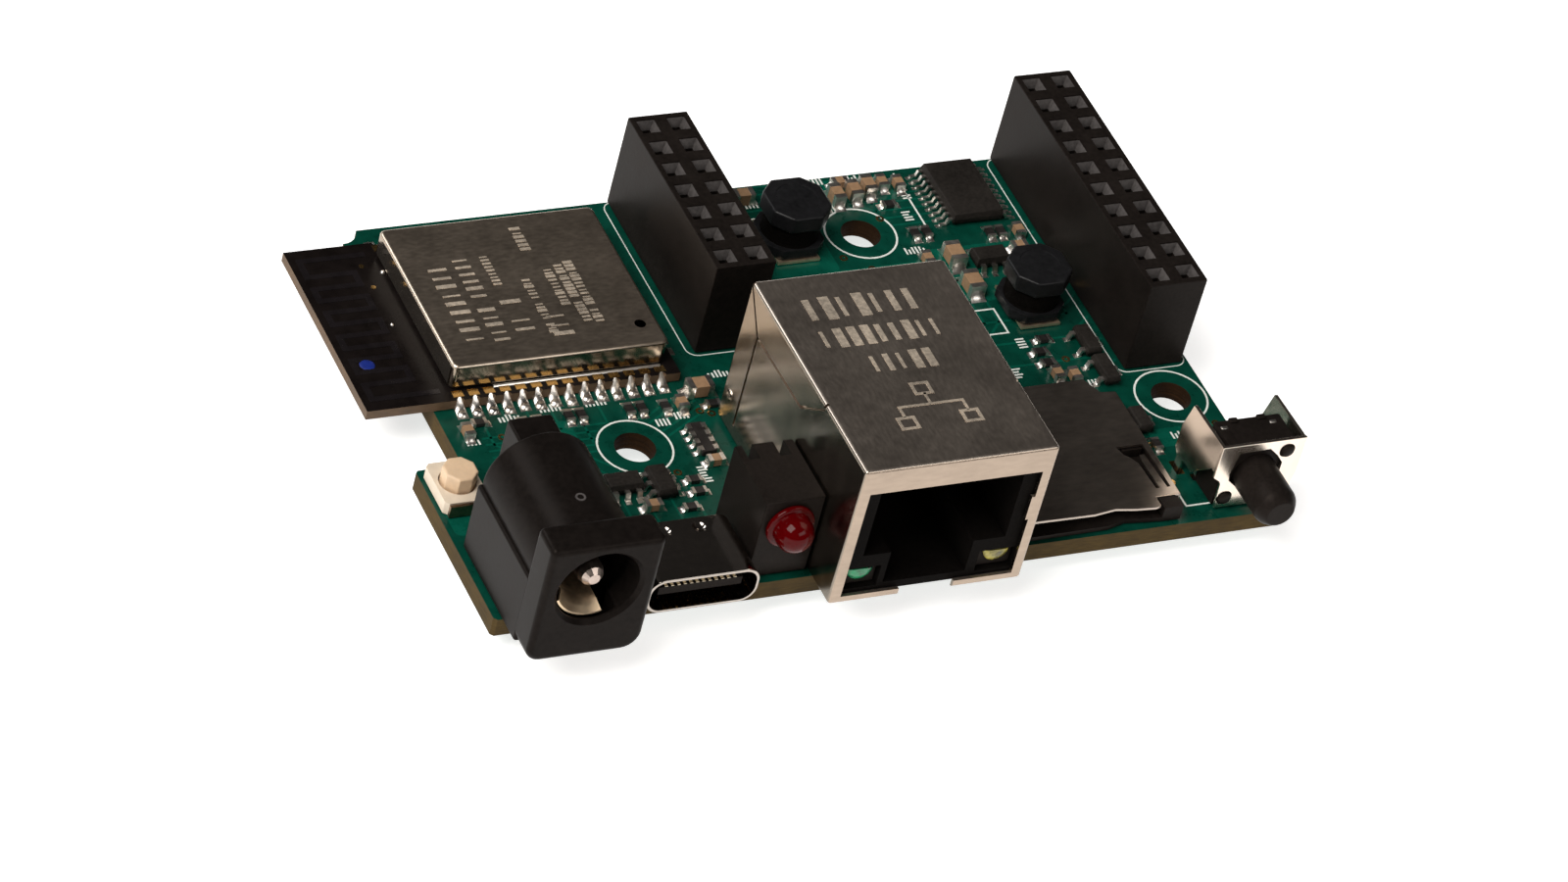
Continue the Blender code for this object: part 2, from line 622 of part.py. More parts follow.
x0 = SIDE_X - 0.5 * SIDE_W
x1 = SIDE_X + 0.5 * SIDE_W
plate_back = SIDE_PLATE_Y + 0.3
bm = bmesh.new()
plate = [
    (x0 + 0.9, STAND), (x1 - 0.2, STAND), (x1 - 0.2, 2.1), (x1, 2.8), (x1, 6.4), (x0, 6.4),
    (x0, 3.35), (x0 + 0.6, 2.9), (x0 + 0.75, 2.6),
]
add_prism(bm, plate, SIDE_PLATE_Y, plate_back, "Y")
side_bracket = add_object(bm, "side_button_bracket", METAL, 0.25, 1.0)
bm = bmesh.new()
wing = [
    (SIDE_PLATE_Y + 0.1, 6.3), (6.1, 6.2), (6.8, 3.6), (6.8, 1.4), (6.3, 1.0), (6.3, PIN_END),
    (5.5, PIN_END), (5.5, 1.2), (4.0, 1.3), (1.7, 3.7), (SIDE_PLATE_Y + 0.1, 3.7),
]
add_prism(bm, wing, x0 + 0.08, x0 + 0.36, "X")
add_prism(bm, wing, x1 - 0.36, x1 - 0.08, "X")
boolean(side_bracket, bm, "side_wing_parts", "UNION")
bm = bmesh.new()
window = [
    (SIDE_X - 2.35, 3.6), (SIDE_X - 1.95, 5.6), (SIDE_X + 0.6, 5.7), (SIDE_X + 1.45, 4.9),
    (SIDE_X + 2.05, 4.1), (SIDE_X + 2.05, 2.2), (SIDE_X + 0.9, 1.1), (SIDE_X - 0.9, 1.1),
    (SIDE_X - 2.2, 2.6),
]
add_prism(bm, window, SIDE_PLATE_Y - 1.0, plate_back + 1.0, "Y")
for s in (-1, 1):
    add_prism(bm, circle(SIDE_X + s * 2.15, SIDE_Z + s * 2.2, 0.66, 16), 0.0, 2.5, "Y")
boolean(side_bracket, bm, "side_plate_cutter")

bm = bmesh.new()
add_box(bm, SIDE_X - 2.85, SIDE_X + 2.85, plate_back + 0.1, 4.25, STAND + 0.05, 6.1)
side_body = add_object(bm, "side_button_body", BLACK, 0.55)
bm = bmesh.new()
for s in (-1, 1):
    add_prism(bm, circle(SIDE_X + s * 2.15, SIDE_Z + s * 2.2, 0.55, 16), 0.75, 2.0, "Y")
boolean(side_body, bm, "side_rivet_parts", "UNION")
bm = bmesh.new()
add_turned(
    bm, [(1.8, 0.5), (1.8, 1.9), (2.3, 1.9), (2.3, 3.95)], (SIDE_X, SIDE_Z), "Y", 28,
)
boolean(side_body, bm, "side_bore_cutter")

bm = bmesh.new()
plunger = [(0.0, -3.4), (0.9, -3.38), (1.35, -3.2), (1.65, -2.85), (1.75, -2.4), (1.75, 2.0)]
plunger += [(2.15, 2.0), (2.15, 2.7), (0.9, 2.7), (0.9, 3.05), (0.0, 3.05)]
add_turned(bm, plunger, (SIDE_X, SIDE_Z), "Y", 28)
side_plunger = add_object(bm, "side_button_plunger", BLACK, 0.5, smooth=True)
shift_origin(side_plunger, (SIDE_X, 1.0, SIDE_Z))

bm = bmesh.new()
add_turned(
    bm, [(0.0, 3.4), (0.9, 3.46), (2.0, 3.7), (2.0, 3.82), (0.9, 3.58), (0.0, 3.52)],
    (SIDE_X, SIDE_Z), "Y", 20,
)
add_object(bm, "side_button_dome", METAL, 0.3, 1.0)

bm = bmesh.new()
add_box(bm, SIDE_X - 2.7, SIDE_X + 2.7, 4.45, 4.85, 0.3, 0.9)
side_terminals = add_object(bm, "side_button_terminals", SOLDER, 0.35, 1.0)
bm = bmesh.new()
for x, y in SIDE_TERMINALS:
    add_box(bm, x - 0.35, x + 0.35, 4.5, 4.8, PIN_END, 0.6)
boolean(side_terminals, bm, "side_terminal_pins", "UNION")

# ---------------------------------------------------------------- top push button

bm = bmesh.new()
add_prism(
    bm, chamfered(TOP_X - 1.75, TOP_X + 1.75, TOP_Y - 2.2, TOP_Y + 2.2, 0.3), STAND, TOP_BASE_TOP
)
top_base = add_object(bm, "top_button_base", (0.80, 0.72, 0.60), 0.5)
bm = bmesh.new()
add_turned(bm, [(1.6, 0.35), (1.6, 0.95), (1.45, 0.95), (1.45, 2.2)], (TOP_X, TOP_Y), "Z", 24)
boolean(top_base, bm, "top_bore_cutter")

bm = bmesh.new()
add_turned(bm, [(1.52, 0.62), (1.52, 0.82), (1.36, 0.82), (1.36, 2.38), (1.24, TOP_PLUNGER_TOP)],
           (TOP_X, TOP_Y), "Z", 8)
top_plunger = add_object(bm, "top_button_plunger", (0.72, 0.56, 0.40), 0.45)
shift_origin(top_plunger, (TOP_X, TOP_Y, 1.2))

bm = bmesh.new()
add_box(bm, TOP_X - 1.5, TOP_X + 1.5, TOP_Y - 2.55, TOP_Y - 2.3, STAND, 1.15)
add_object(bm, "top_button_frame", (0.35, 0.24, 0.17), 0.35, 1.0)

# ---------------------------------------------------------------- socket strips


def socket_strip(label, strip):
    centre_x, centre_y, count = strip
    half_y = 0.5 * count * PITCH
    bm = bmesh.new()
    add_box(
        bm, centre_x - 0.5 * STRIP_W, centre_x + 0.5 * STRIP_W, centre_y - half_y, centre_y + half_y,
        STAND, STRIP_TOP,
    )
    housing = add_object(bm, label + "_housing", BLACK, 0.55)
    bm = bmesh.new()
    for x, y in strip_pins(strip):
        add_box(bm, x - SOCKET_HALF, x + SOCKET_HALF, y - SOCKET_HALF, y + SOCKET_HALF, 1.6, STRIP_TOP + 1.0)
    boolean(housing, bm, label + "_socket_cutter")
    bm = bmesh.new()
    slot = half_y - 0.6
    for side in (-1, 1):
        x = centre_x + side * 0.5 * PITCH
        add_box(bm, x - 0.42, x + 0.42, centre_y - slot, centre_y + slot, -1.0, 1.9)
    boolean(housing, bm, label + "_slot_cutter")
    for side, word in ((-1, "left"), (1, "right")):
        x = centre_x + side * 0.5 * PITCH
        bm = bmesh.new()
        reach = 0.5 * (count - 1) * PITCH + 0.4
        add_box(bm, x - 0.2, x + 0.2, centre_y - reach, centre_y + reach, 0.5, 1.0)
        row = add_object(bm, label + "_contacts_" + word, GOLD, 0.3, 1.0)
        rows_y = [y for px, y in strip_pins(strip) if abs(px - x) < 0.1]
        bm = bmesh.new()
        for y in rows_y:
            add_box(bm, x - 0.3, x + 0.3, y - 0.3, y + 0.3, PIN_END, 0.75)
        boolean(row, bm, label + "_pins_" + word, "UNION")
        bm = bmesh.new()
        for y in rows_y:
            add_box(bm, x - 0.36, x + 0.36, y - 0.42, y - 0.22, 0.62, 6.8)
        boolean(row, bm, label + "_fingers_" + word, "UNION")


socket_strip("strip_short", STRIP_7)
socket_strip("strip_long", STRIP_10)

# ---------------------------------------------------------------- choke coils


def choke(label, x0, x1, y0, y1, top):
    cx = 0.5 * (x0 + x1)
    cy = 0.5 * (y0 + y1)
    ring = 0.5 * min(x1 - x0, y1 - y0) - 0.7
    bm = bmesh.new()
    add_prism(bm, chamfered(x0, x1, y0, y1, 1.05), STAND + 0.3, 1.3)
    body = add_object(bm, label + "_core", BLACK, 0.45)
    bm = bmesh.new()
    add_prism(bm, circle(cx, cy, ring + 0.48, 28), 1.0, top - 1.0)
    boolean(body, bm, label + "_waist_part", "UNION")
    bm = bmesh.new()
    add_prism(bm, chamfered(x0, x1, y0, y1, 1.05), top - 1.3, top)
    boolean(body, bm, label + "_lid_part", "UNION")
    bm = bmesh.new()
    add_prism(bm, circle(cx, cy, ring, 24), -1.0, top - 0.5)
    boolean(body, bm, label + "_inside_cutter")
    bm = bmesh.new()
    spool = [(ring - 0.15, 0.55), (ring - 0.15, 1.0), (0.45 * ring, 1.0), (0.45 * ring, top - 1.2)]
    spool += [(ring - 0.15, top - 1.2), (ring - 0.15, top - 0.65)]
    add_turned(bm, spool, (cx, cy), "Z", 20)
    add_object(bm, label + "_drum", (0.05, 0.05, 0.055), 0.5)
    bm = bmesh.new()
    add_prism(bm, circle(cx, cy, ring - 0.25, 20), 1.12, top - 1.32)
    winding = add_object(bm, label + "_winding", (0.55, 0.22, 0.09), 0.35, 1.0)
    bm = bmesh.new()
    add_prism(bm, circle(cx, cy, 0.45 * ring + 0.12, 20), 0.0, top)
    boolean(winding, bm, label + "_winding_cutter")
    bm = bmesh.new()
    add_box(bm, x0 + 0.7, x1 - 0.7, y0 - 0.15, y1 + 0.15, 0.1, 0.32)
    plate = add_object(bm, label + "_terminals", SOLDER, 0.3, 1.0)
    bm = bmesh.new()
    add_box(bm, cx - 0.6, cx + 0.6, y0 + 0.9, y1 - 0.9, -1.0, 1.0)
    boolean(plate, bm, label + "_gap_cutter")


choke("choke_rear", 36.2, 41.2, 33.1, 38.0, 4.5)
choke("choke_right", 52.6, 57.4, 22.8, 27.5, 4.5)

# ---------------------------------------------------------------- small devices


def leaded_chip(label, cx, cy, body_x, body_y, height, rows, pitch, along, reach, color=BLACK):
    """Moulded body with gull-wing leads on its two long sides, made as one solid."""
    bm = bmesh.new()
    add_box(bm, cx - 0.5 * body_x, cx + 0.5 * body_x, cy - 0.5 * body_y, cy + 0.5 * body_y, 0.2, height)
    body = add_object(bm, label, color, 0.5)
    bm = bmesh.new()
    width = 0.36 * pitch
    for side, count in zip((-1, 1), rows):
        for k in range(count):
            shift = pitch * (k - 0.5 * (count - 1)) * (2.0 if count == 2 and pitch == 0.95 else 1.0)
            edge = side * 0.5 * (body_x if along == "Y" else body_y)
            foot = side * reach
            profile = [
                (edge - side * 0.2, 0.5), (edge + side * 0.25, 0.5), (edge + side * 0.4, 0.1),
                (foot, 0.1), (foot, 0.26), (edge + side * 0.55, 0.26), (edge + side * 0.4, 0.68),
                (edge - side * 0.2, 0.68),
            ]
            if along == "Y":
                shape = [(cx + a, b) for a, b in profile]
                add_prism(bm, shape, cy + shift - 0.5 * width, cy + shift + 0.5 * width, "Y")
            else:
                shape = [(cy + a, b) for a, b in profile]
                add_prism(bm, shape, cx + shift - 0.5 * width, cx + shift + 0.5 * width, "X")
    boolean(body, bm, label + "_leads", "UNION")


leaded_chip("serial_chip", 55.15, 38.25, 4.4, 6.5, 1.2, (10, 10), 0.65, "Y", 3.2)
leaded_chip("power_switch_chip", 14.7, 11.35, 2.9, 1.6, 1.15, (3, 3), 0.95, "X", 1.4)
leaded_chip("charger_chip", 17.65, 11.0, 1.6, 2.9, 1.15, (3, 3), 0.95, "Y", 1.4)
leaded_chip("regulator_chip", 54.1, 30.6, 2.9, 1.6, 1.15, (3, 2), 0.95, "X", 1.4)
leaded_chip("transistor_rear", 57.75, 20.1, 1.3, 2.9, 1.1, (2, 1), 0.95, "Y", 1.2)
leaded_chip("transistor_front", 57.75, 16.7, 1.3, 2.9, 1.1, (2, 1), 0.95, "Y", 1.2)

small_blocks = (
    ("network_chip", 43.6, 25.2, 5.0, 5.0, 0.95, BLACK),
    ("resistor_pack", 22.8, 15.15, 1.6, 3.2, 0.6, BLACK),
    ("capacitor_input", 51.3, 31.2, 1.3, 2.1, 1.25, CERAMIC),
    ("capacitor_output", 51.35, 27.8, 1.3, 2.1, 1.25, CERAMIC),
)
for name, x, y, size_x, size_y, height, color in small_blocks:
    bm = bmesh.new()
    add_box(bm, x - 0.5 * size_x, x + 0.5 * size_x, y - 0.5 * size_y, y + 0.5 * size_y, STAND, height)
    add_object(bm, name, color, 0.45)
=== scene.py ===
"""Looks of a microcontroller board: radio module, network jack, power jack and card socket.

Places are in millimetres from the board's front left corner, with z = 0 on its top face,
as in the CAD; at() turns them into the frame's metres.
"""

import math
import random

import bmesh
import bpy
from mathutils import Matrix, Vector


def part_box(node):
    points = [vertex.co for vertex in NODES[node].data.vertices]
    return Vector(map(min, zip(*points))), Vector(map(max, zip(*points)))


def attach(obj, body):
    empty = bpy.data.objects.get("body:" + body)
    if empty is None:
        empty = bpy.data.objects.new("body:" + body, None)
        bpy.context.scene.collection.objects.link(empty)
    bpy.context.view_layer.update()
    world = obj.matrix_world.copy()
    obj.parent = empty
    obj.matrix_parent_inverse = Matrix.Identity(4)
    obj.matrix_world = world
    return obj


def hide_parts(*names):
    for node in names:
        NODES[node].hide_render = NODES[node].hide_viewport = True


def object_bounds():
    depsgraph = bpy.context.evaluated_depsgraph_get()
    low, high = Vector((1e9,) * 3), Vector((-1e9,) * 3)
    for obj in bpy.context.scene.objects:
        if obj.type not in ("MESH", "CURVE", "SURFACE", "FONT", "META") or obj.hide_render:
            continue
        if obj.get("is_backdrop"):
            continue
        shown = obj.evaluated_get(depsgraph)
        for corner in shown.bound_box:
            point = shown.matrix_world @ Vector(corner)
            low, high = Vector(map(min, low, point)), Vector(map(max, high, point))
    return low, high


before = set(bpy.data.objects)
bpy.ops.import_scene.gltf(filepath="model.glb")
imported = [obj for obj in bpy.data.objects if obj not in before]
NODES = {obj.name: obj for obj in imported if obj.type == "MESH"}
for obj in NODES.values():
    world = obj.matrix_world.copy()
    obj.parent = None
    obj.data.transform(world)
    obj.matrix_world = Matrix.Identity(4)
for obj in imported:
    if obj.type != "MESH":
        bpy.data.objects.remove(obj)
cad_low, cad_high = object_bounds()

MM = 0.001
board_low, board_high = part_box("main_board")
ORIGIN = Vector((board_low.x, board_low.y, board_high.z))
BOARD_Y = (board_high.y - board_low.y) / MM
BOARD_T = (board_high.z - board_low.z) / MM
PIN_END = (cad_low.z - board_high.z) / MM
random_marks = random.Random(20)

# Heights in millimetres
LIFT = 0.12  # gap between the board and the parts that stand on it
INK = 0.02
TRACK_TOP = 0.012
PLATING = 0.03
# Cutters run this far past the face that they open
PAST = 1.0
PITCH = 2.54
HALF_PITCH = 1.27

new = bmesh.new


def at(x, y, z=0.0):
    return ORIGIN + Vector((x, y, z)) * MM


def box_mm(node):
    """Lowest and highest corner of a CAD node in board millimetres."""
    low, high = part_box(node)
    return (low - ORIGIN) / MM, (high - ORIGIN) / MM


# ---- shapes

EDGE_ANGLE = 32.0  # edges that turn by more than this many degrees are rounded
MIN_RADIUS = 0.012
STAGGER = 0.004  # height between runs of a line that overlap


def place(a, b, c, axis):
    if axis == "Z":
        return (a, b, c)
    if axis == "Y":
        return (a, c, b)
    return (c, a, b)


def loft(bm, rings):
    """Closed skin through rings that have the same number of points."""
    rows = [[bm.verts.new(at(*p)) for p in ring] for ring in rings]
    count = len(rows[0])
    for low, high in zip(rows, rows[1:]):
        for i in range(count):
            j = (i + 1) % count
            bm.faces.new((low[i], low[j], high[j], high[i]))
    bm.faces.new(rows[0][::-1])
    bm.faces.new(rows[-1])
    return bm


def prism(bm, outline, low, high, axis="Z"):
    return loft(bm, [[place(a, b, c, axis) for a, b in outline] for c in (low, high)])


def box(bm, x0, x1, y0, y1, z0, z1):
    return prism(bm, ((x0, y0), (x1, y0), (x1, y1), (x0, y1)), z0, z1)


def circle(cx, cy, radius, steps=32, start=0.0):
    turn = 2.0 * math.pi / steps
    return [
        (cx + radius * math.cos(start + i * turn), cy + radius * math.sin(start + i * turn))
        for i in range(steps)
    ]


def turned(bm, profile, centre, axis="Z", steps=32, start=0.0):
    """Turns (radius, position) pairs about an axis through centre."""
    rings = []
    for radius, pos in profile:
        outline = circle(centre[0], centre[1], max(radius, MIN_RADIUS), steps, start)
        rings.append([place(a, b, pos, axis) for a, b in outline])
    return loft(bm, rings)


def rounded(x0, x1, y0, y1, radii, steps=6):
    """Rectangle outline with a radius for each corner: low-low, high-low, high-high, low-high."""
    corners = ((x0, y0, 1, 1, 180), (x1, y0, -1, 1, 270), (x1, y1, -1, -1, 0), (x0, y1, 1, -1, 90))
    points = []
    for (cx, cy, sx, sy, start), radius in zip(corners, radii):
        if radius <= 0:
            points.append((cx, cy))
            continue
        for k in range(steps + 1):
            angle = math.radians(start + 90.0 * k / steps)
            points.append((
                cx + sx * radius + radius * math.cos(angle),
                cy + sy * radius + radius * math.sin(angle),
            ))
    return points


def chamfered(x0, x1, y0, y1, cut):
    return [
        (x0 + cut, y0), (x1 - cut, y0), (x1, y0 + cut), (x1, y1 - cut),
        (x1 - cut, y1), (x0 + cut, y1), (x0, y1 - cut), (x0, y0 + cut),
    ]


def frustum(bm, x, y, levels):
    """Square tube of varying width: levels are (half width, z) pairs."""
    return loft(bm, [
        [(x - h, y - h, z), (x + h, y - h, z), (x + h, y + h, z), (x - h, y + h, z)]
        for h, z in levels
    ])


def annulus(bm, cx, cy, r0, r1, z0, z1, steps=40):
    rows = [
        [bm.verts.new(at(a, b, z)) for a, b in circle(cx, cy, r, steps)]
        for r, z in ((r0, z0), (r1, z0), (r1, z1), (r0, z1))
    ]
    for k in range(4):
        low, high = rows[k], rows[(k + 1) % 4]
        for i in range(steps):
            j = (i + 1) % steps
            bm.faces.new((low[i], low[j], high[j], high[i]))
    return bm


def band(a, b, width, past):
    """Corners of a straight line, with each end run on by a share of its width."""
    (ax, ay), (bx, by) = a, b
    length = math.hypot(bx - ax, by - ay)
    ux, uy = (bx - ax) / length * width, (by - ay) / length * width
    ex, ey = past * ux, past * uy
    nx, ny = -0.5 * uy, 0.5 * ux
    return (
        (ax - ex - nx, ay - ey - ny), (bx + ex - nx, by + ey - ny),
        (bx + ex + nx, by + ey + ny), (ax - ex + nx, ay - ey + ny),
    )


def strip(bm, points, width, z0=0.0, z1=INK):
    """Flat line of a given width through points on the board, with square ends."""
    for k, (a, b) in enumerate(zip(points, points[1:])):
        if math.dist(a, b) > 1e-6:
            prism(bm, band(a, b, width, 0.45), z0, z1 + STAGGER * (k % 2))


def linked(name, data):
    """Object with this data, in the scene."""
    obj = bpy.data.objects.new(name, data)
    bpy.context.scene.collection.objects.link(obj)
    return obj


def solid(bm, bevel=0.0, cuts=(), segments=2, slot=0):
    """Rounds a shape's edges, cuts holes in it and returns (mesh, material slot)."""
    bmesh.ops.recalc_face_normals(bm, faces=bm.faces)
    mesh = bpy.data.meshes.new("work")
    bm.to_mesh(mesh)
    bm.free()
    if bevel <= 0.0 and not cuts:
        return mesh, slot
    work = linked("work", mesh)
    helpers = [work]
    if bevel > 0.0:
        rounding = work.modifiers.new("edges", "BEVEL")
        rounding.width = bevel * MM
        rounding.segments = segments
        rounding.limit_method = "ANGLE"
        rounding.angle_limit = math.radians(EDGE_ANGLE)
        rounding.use_clamp_overlap = True
    for cut in cuts:
        bmesh.ops.recalc_face_normals(cut, faces=cut.faces)
        cut_mesh = bpy.data.meshes.new("cut")
        cut.to_mesh(cut_mesh)
        cut.free()
        cutter = linked("cut", cut_mesh)
        helpers.append(cutter)
        hole = work.modifiers.new("hole", "BOOLEAN")
        hole.operation = "DIFFERENCE"
        hole.solver = "EXACT"
        hole.object = cutter
    depsgraph = bpy.context.evaluated_depsgraph_get()
    result = bpy.data.meshes.new_from_object(work.evaluated_get(depsgraph))
    for helper in helpers:
        bpy.data.objects.remove(helper, do_unlink=True)
    return result, slot


def piece(name, parts, materials, body="board", replaces=None, sharp=38.0):
    """Joins solids into one named piece that rides on a body."""
    bm = new()
    for mesh, slot in parts:
        before = len(bm.faces)
        bm.from_mesh(mesh)
        bm.faces.ensure_lookup_table()
        for face in bm.faces[before:]:
            face.material_index = slot
        bpy.data.meshes.remove(mesh)
    mesh = bpy.data.meshes.new(name)
    bm.to_mesh(mesh)
    bm.free()
    obj = linked(name, mesh)
    for mat in materials if isinstance(materials, (list, tuple)) else [materials]:
        mesh.materials.append(mat)
    mesh.shade_smooth()
    mesh.set_sharp_from_angle(angle=math.radians(sharp))
    weighted = obj.modifiers.new("normals", "WEIGHTED_NORMAL")
    weighted.keep_sharp = True
    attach(obj, body)
    if replaces:
        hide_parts(replaces)
    return obj


# ---- materials

# Parts of the noise's range that carry a material's colours and gloss
COLOR_SPAN = (0.36, 0.64)
GLOSS_SPAN = (0.32, 0.68)
LEAST_ROUGHNESS = 0.02
WARM = (1.0, 0.84, 0.74, 1.0)


def new_node(mat, kind, **inputs):
    node = mat.node_tree.nodes.new("ShaderNode" + kind)
    for key, value in inputs.items():
        node.inputs[key.replace("_", " ")].default_value = value
    return node


def ramp(mat, source, dark, light):
    node = new_node(mat, "ValToRGB")
    for element, place_on_ramp, color in zip(node.color_ramp.elements, COLOR_SPAN, (dark, light)):
        element.position = place_on_ramp
        element.color = (*color, 1.0)
    mat.node_tree.links.new(source, node.inputs["Fac"])
    return node.outputs["Color"]


def surface(name, color, roughness, metallic=0.0, grain=2600.0, stretch=(1, 1, 1), mottle=0.3,
            spread=0.08, bump=0.2, depth=0.00002, patches=260.0, **sockets):
    """Principled material with uneven colour and gloss and a fine relief."""
    mat = bpy.data.materials.new(name)
    mat.use_nodes = True
    links = mat.node_tree.links
    shader = mat.node_tree.nodes["Principled BSDF"]
    shader.inputs["Metallic"].default_value = metallic
    for key, value in sockets.items():
        shader.inputs[key.replace("_", " ")].default_value = value
    coords = new_node(mat, "TexCoord").outputs["Object"]
    mapping = new_node(mat, "Mapping", Scale=stretch)
    links.new(coords, mapping.inputs["Vector"])
    fine = new_node(mat, "TexNoise", Scale=grain, Detail=3.0, Roughness=0.55)
    links.new(mapping.outputs["Vector"], fine.inputs["Vector"])
    broad = new_node(mat, "TexNoise", Scale=patches, Detail=4.0, Roughness=0.6)
    links.new(coords, broad.inputs["Vector"])
    both = new_node(mat, "Math")
    both.operation = "MULTIPLY_ADD"
    both.inputs[1].default_value = 0.5
    links.new(fine.outputs["Fac"], both.inputs[0])
    half = new_node(mat, "Math")
    half.operation = "MULTIPLY"
    half.inputs[1].default_value = 0.5
    links.new(broad.outputs["Fac"], half.inputs[0])
    links.new(half.outputs[0], both.inputs[2])
    dark = tuple(c * (1.0 - mottle) for c in color)
    light = tuple(min(1.0, c * (1.0 + mottle)) for c in color)
    links.new(ramp(mat, both.outputs[0], dark, light), shader.inputs["Base Color"])
    gloss = new_node(mat, "MapRange")
    gloss.inputs["From Min"].default_value, gloss.inputs["From Max"].default_value = GLOSS_SPAN
    gloss.inputs["To Min"].default_value = max(LEAST_ROUGHNESS, roughness - spread)
    gloss.inputs["To Max"].default_value = min(1.0, roughness + spread)
    links.new(both.outputs[0], gloss.inputs["Value"])
    links.new(gloss.outputs["Result"], shader.inputs["Roughness"])
    relief = new_node(mat, "Bump", Strength=bump, Distance=depth)
    links.new(fine.outputs["Fac"], relief.inputs["Height"])
    links.new(relief.outputs["Normal"], shader.inputs["Normal"])
    return mat


MASK = surface("solder_mask_green", (0.0012, 0.042, 0.027), 0.3, grain=900.0, mottle=0.28,
    spread=0.07, bump=0.1, IOR=1.25)
TRACE = surface("masked_copper", (0.0016, 0.072, 0.046), 0.28, grain=900.0, mottle=0.2, bump=0.1,
    IOR=1.25)
EDGE = surface("glass_fibre_edge", (0.058, 0.037, 0.012), 0.7, grain=900.0, stretch=(1, 1, 7),
    mottle=0.35, bump=0.5, depth=0.00004, IOR=1.2)
SILK = surface("white_ink", (0.72, 0.74, 0.70), 0.6, grain=3000.0, mottle=0.12)
TIN = surface("solder", (0.84, 0.79, 0.73), 0.33, 1.0, grain=1500.0, mottle=0.12, spread=0.1,
    bump=0.3)
GOLD = surface("gold_plate", (0.62, 0.40, 0.15), 0.25, 1.0, grain=2500.0, mottle=0.12, bump=0.1)
BLACK = surface("moulded_black", (0.0105, 0.0083, 0.0072), 0.42, grain=3200.0, spread=0.07, bump=0.22,
    IOR=1.15, Specular_Tint=WARM)
# Black plastic darkened further, with almost no reflection: painted shade inside the network jack's
# mouth and on the chokes' waists.
BLACK_PAINTED_SHADE = surface("black_plastic_painted_shade", (0.0045, 0.0038, 0.0034), 0.5, grain=3200.0, IOR=1.07)
# Grey on black plastic: a painted highlight for the lit slopes of the socket lead-ins and the jack's
# ejector ring.
GREY_PAINTED_HIGHLIGHT = surface("grey_painted_highlight", (0.075, 0.068, 0.066), 0.55, grain=3200.0, IOR=1.2)
SATIN_BLACK = surface("jack_black", (0.0078, 0.0062, 0.0055), 0.34, grain=2200.0, spread=0.06,
    bump=0.16, IOR=1.13, Specular_Tint=WARM)
CHIP = surface("chip_epoxy", (0.018, 0.0155, 0.0135), 0.5, grain=4200.0, mottle=0.35, bump=0.3,
    IOR=1.2)
FERRITE = surface("choke_black", (0.0085, 0.0085, 0.0092), 0.34, mottle=0.35, bump=0.35, IOR=1.25)
MODULE = surface("module_black_mask", (0.0065, 0.0048, 0.0044), 0.3, grain=1100.0, bump=0.12, IOR=1.2)
MODULE_EDGE = surface("module_board_edge", (0.10, 0.058, 0.028), 0.7, grain=1200.0, stretch=(1, 1, 6),
    bump=0.4)
CAN = surface("drawn_can_metal", (0.66, 0.55, 0.44), 0.36, 1.0, grain=3600.0, stretch=(0.4, 1, 1),
    mottle=0.12, spread=0.04, bump=0.12)
# Darker copy of the can metal for its upright faces: painted shade on the can's sides.
CAN_SIDE_PAINTED_SHADE = surface("can_side_painted_shade", (0.34, 0.28, 0.215), 0.16, 1.0, grain=2400.0,
    stretch=(0.2, 1, 1), mottle=0.14, spread=0.05, bump=0.1)
SHIELD = surface("shield_sheet", (0.66, 0.57, 0.49), 0.38, 1.0, grain=3600.0, stretch=(1, 0.35, 1),
    mottle=0.1, spread=0.035, bump=0.1)
# The next two are darker copies of the same shield sheet for its sides, back and front: painted shade
# by face direction.
SHIELD_SIDE_PAINTED_SHADE = surface("shield_side_painted_shade", (0.29, 0.25, 0.205), 0.23, 1.0, grain=900.0,
    stretch=(1, 1, 0.3), mottle=0.1, spread=0.05, bump=0.1)
SHIELD_FRONT_PAINTED_SHADE = surface("shield_front_painted_shade", (0.385, 0.305, 0.24), 0.34, 1.0, stretch=(0.3, 1, 1),
    mottle=0.1, spread=0.07, bump=0.14)
SHELL = surface("usb_shell_nickel", (0.42, 0.375, 0.335), 0.1, 1.0, grain=1800.0, mottle=0.1,
    spread=0.05, bump=0.05)
NICKEL = surface("bracket_nickel", (0.86, 0.76, 0.65), 0.24, 1.0, grain=2000.0, stretch=(1, 1, 0.1),
    mottle=0.06, spread=0.03, bump=0.04)
COVER = surface("card_cover_sheet", (0.44, 0.38, 0.33), 0.33, 1.0, grain=3400.0, stretch=(0.3, 1, 1),
    mottle=0.12, spread=0.04, bump=0.1)
TERMINAL = surface("contact_nickel", (0.70, 0.66, 0.60), 0.22, 1.0, grain=2200.0, mottle=0.12,
    bump=0.1)
PIN_METAL = surface("jack_pin_metal", (0.50, 0.41, 0.36), 0.34, 1.0, grain=2200.0, mottle=0.12,
    bump=0.1)
SPRING = surface("sleeve_spring_metal", (0.80, 0.62, 0.42), 0.4, 1.0, grain=1600.0, mottle=0.15,
    bump=0.15)
FINGERS = surface("usb_contact_plate", (0.85, 0.74, 0.55), 0.5, 1.0, grain=1600.0, mottle=0.15,
    bump=0.15)
CHOKE_LIP = surface("choke_terminal_metal", (0.88, 0.70, 0.50), 0.45, 1.0, grain=1600.0, mottle=0.15)
CERAMIC = surface("capacitor_ceramic", (0.28, 0.17, 0.095), 0.42, mottle=0.16)
RESISTOR = surface("resistor_black", (0.016, 0.014, 0.013), 0.35)
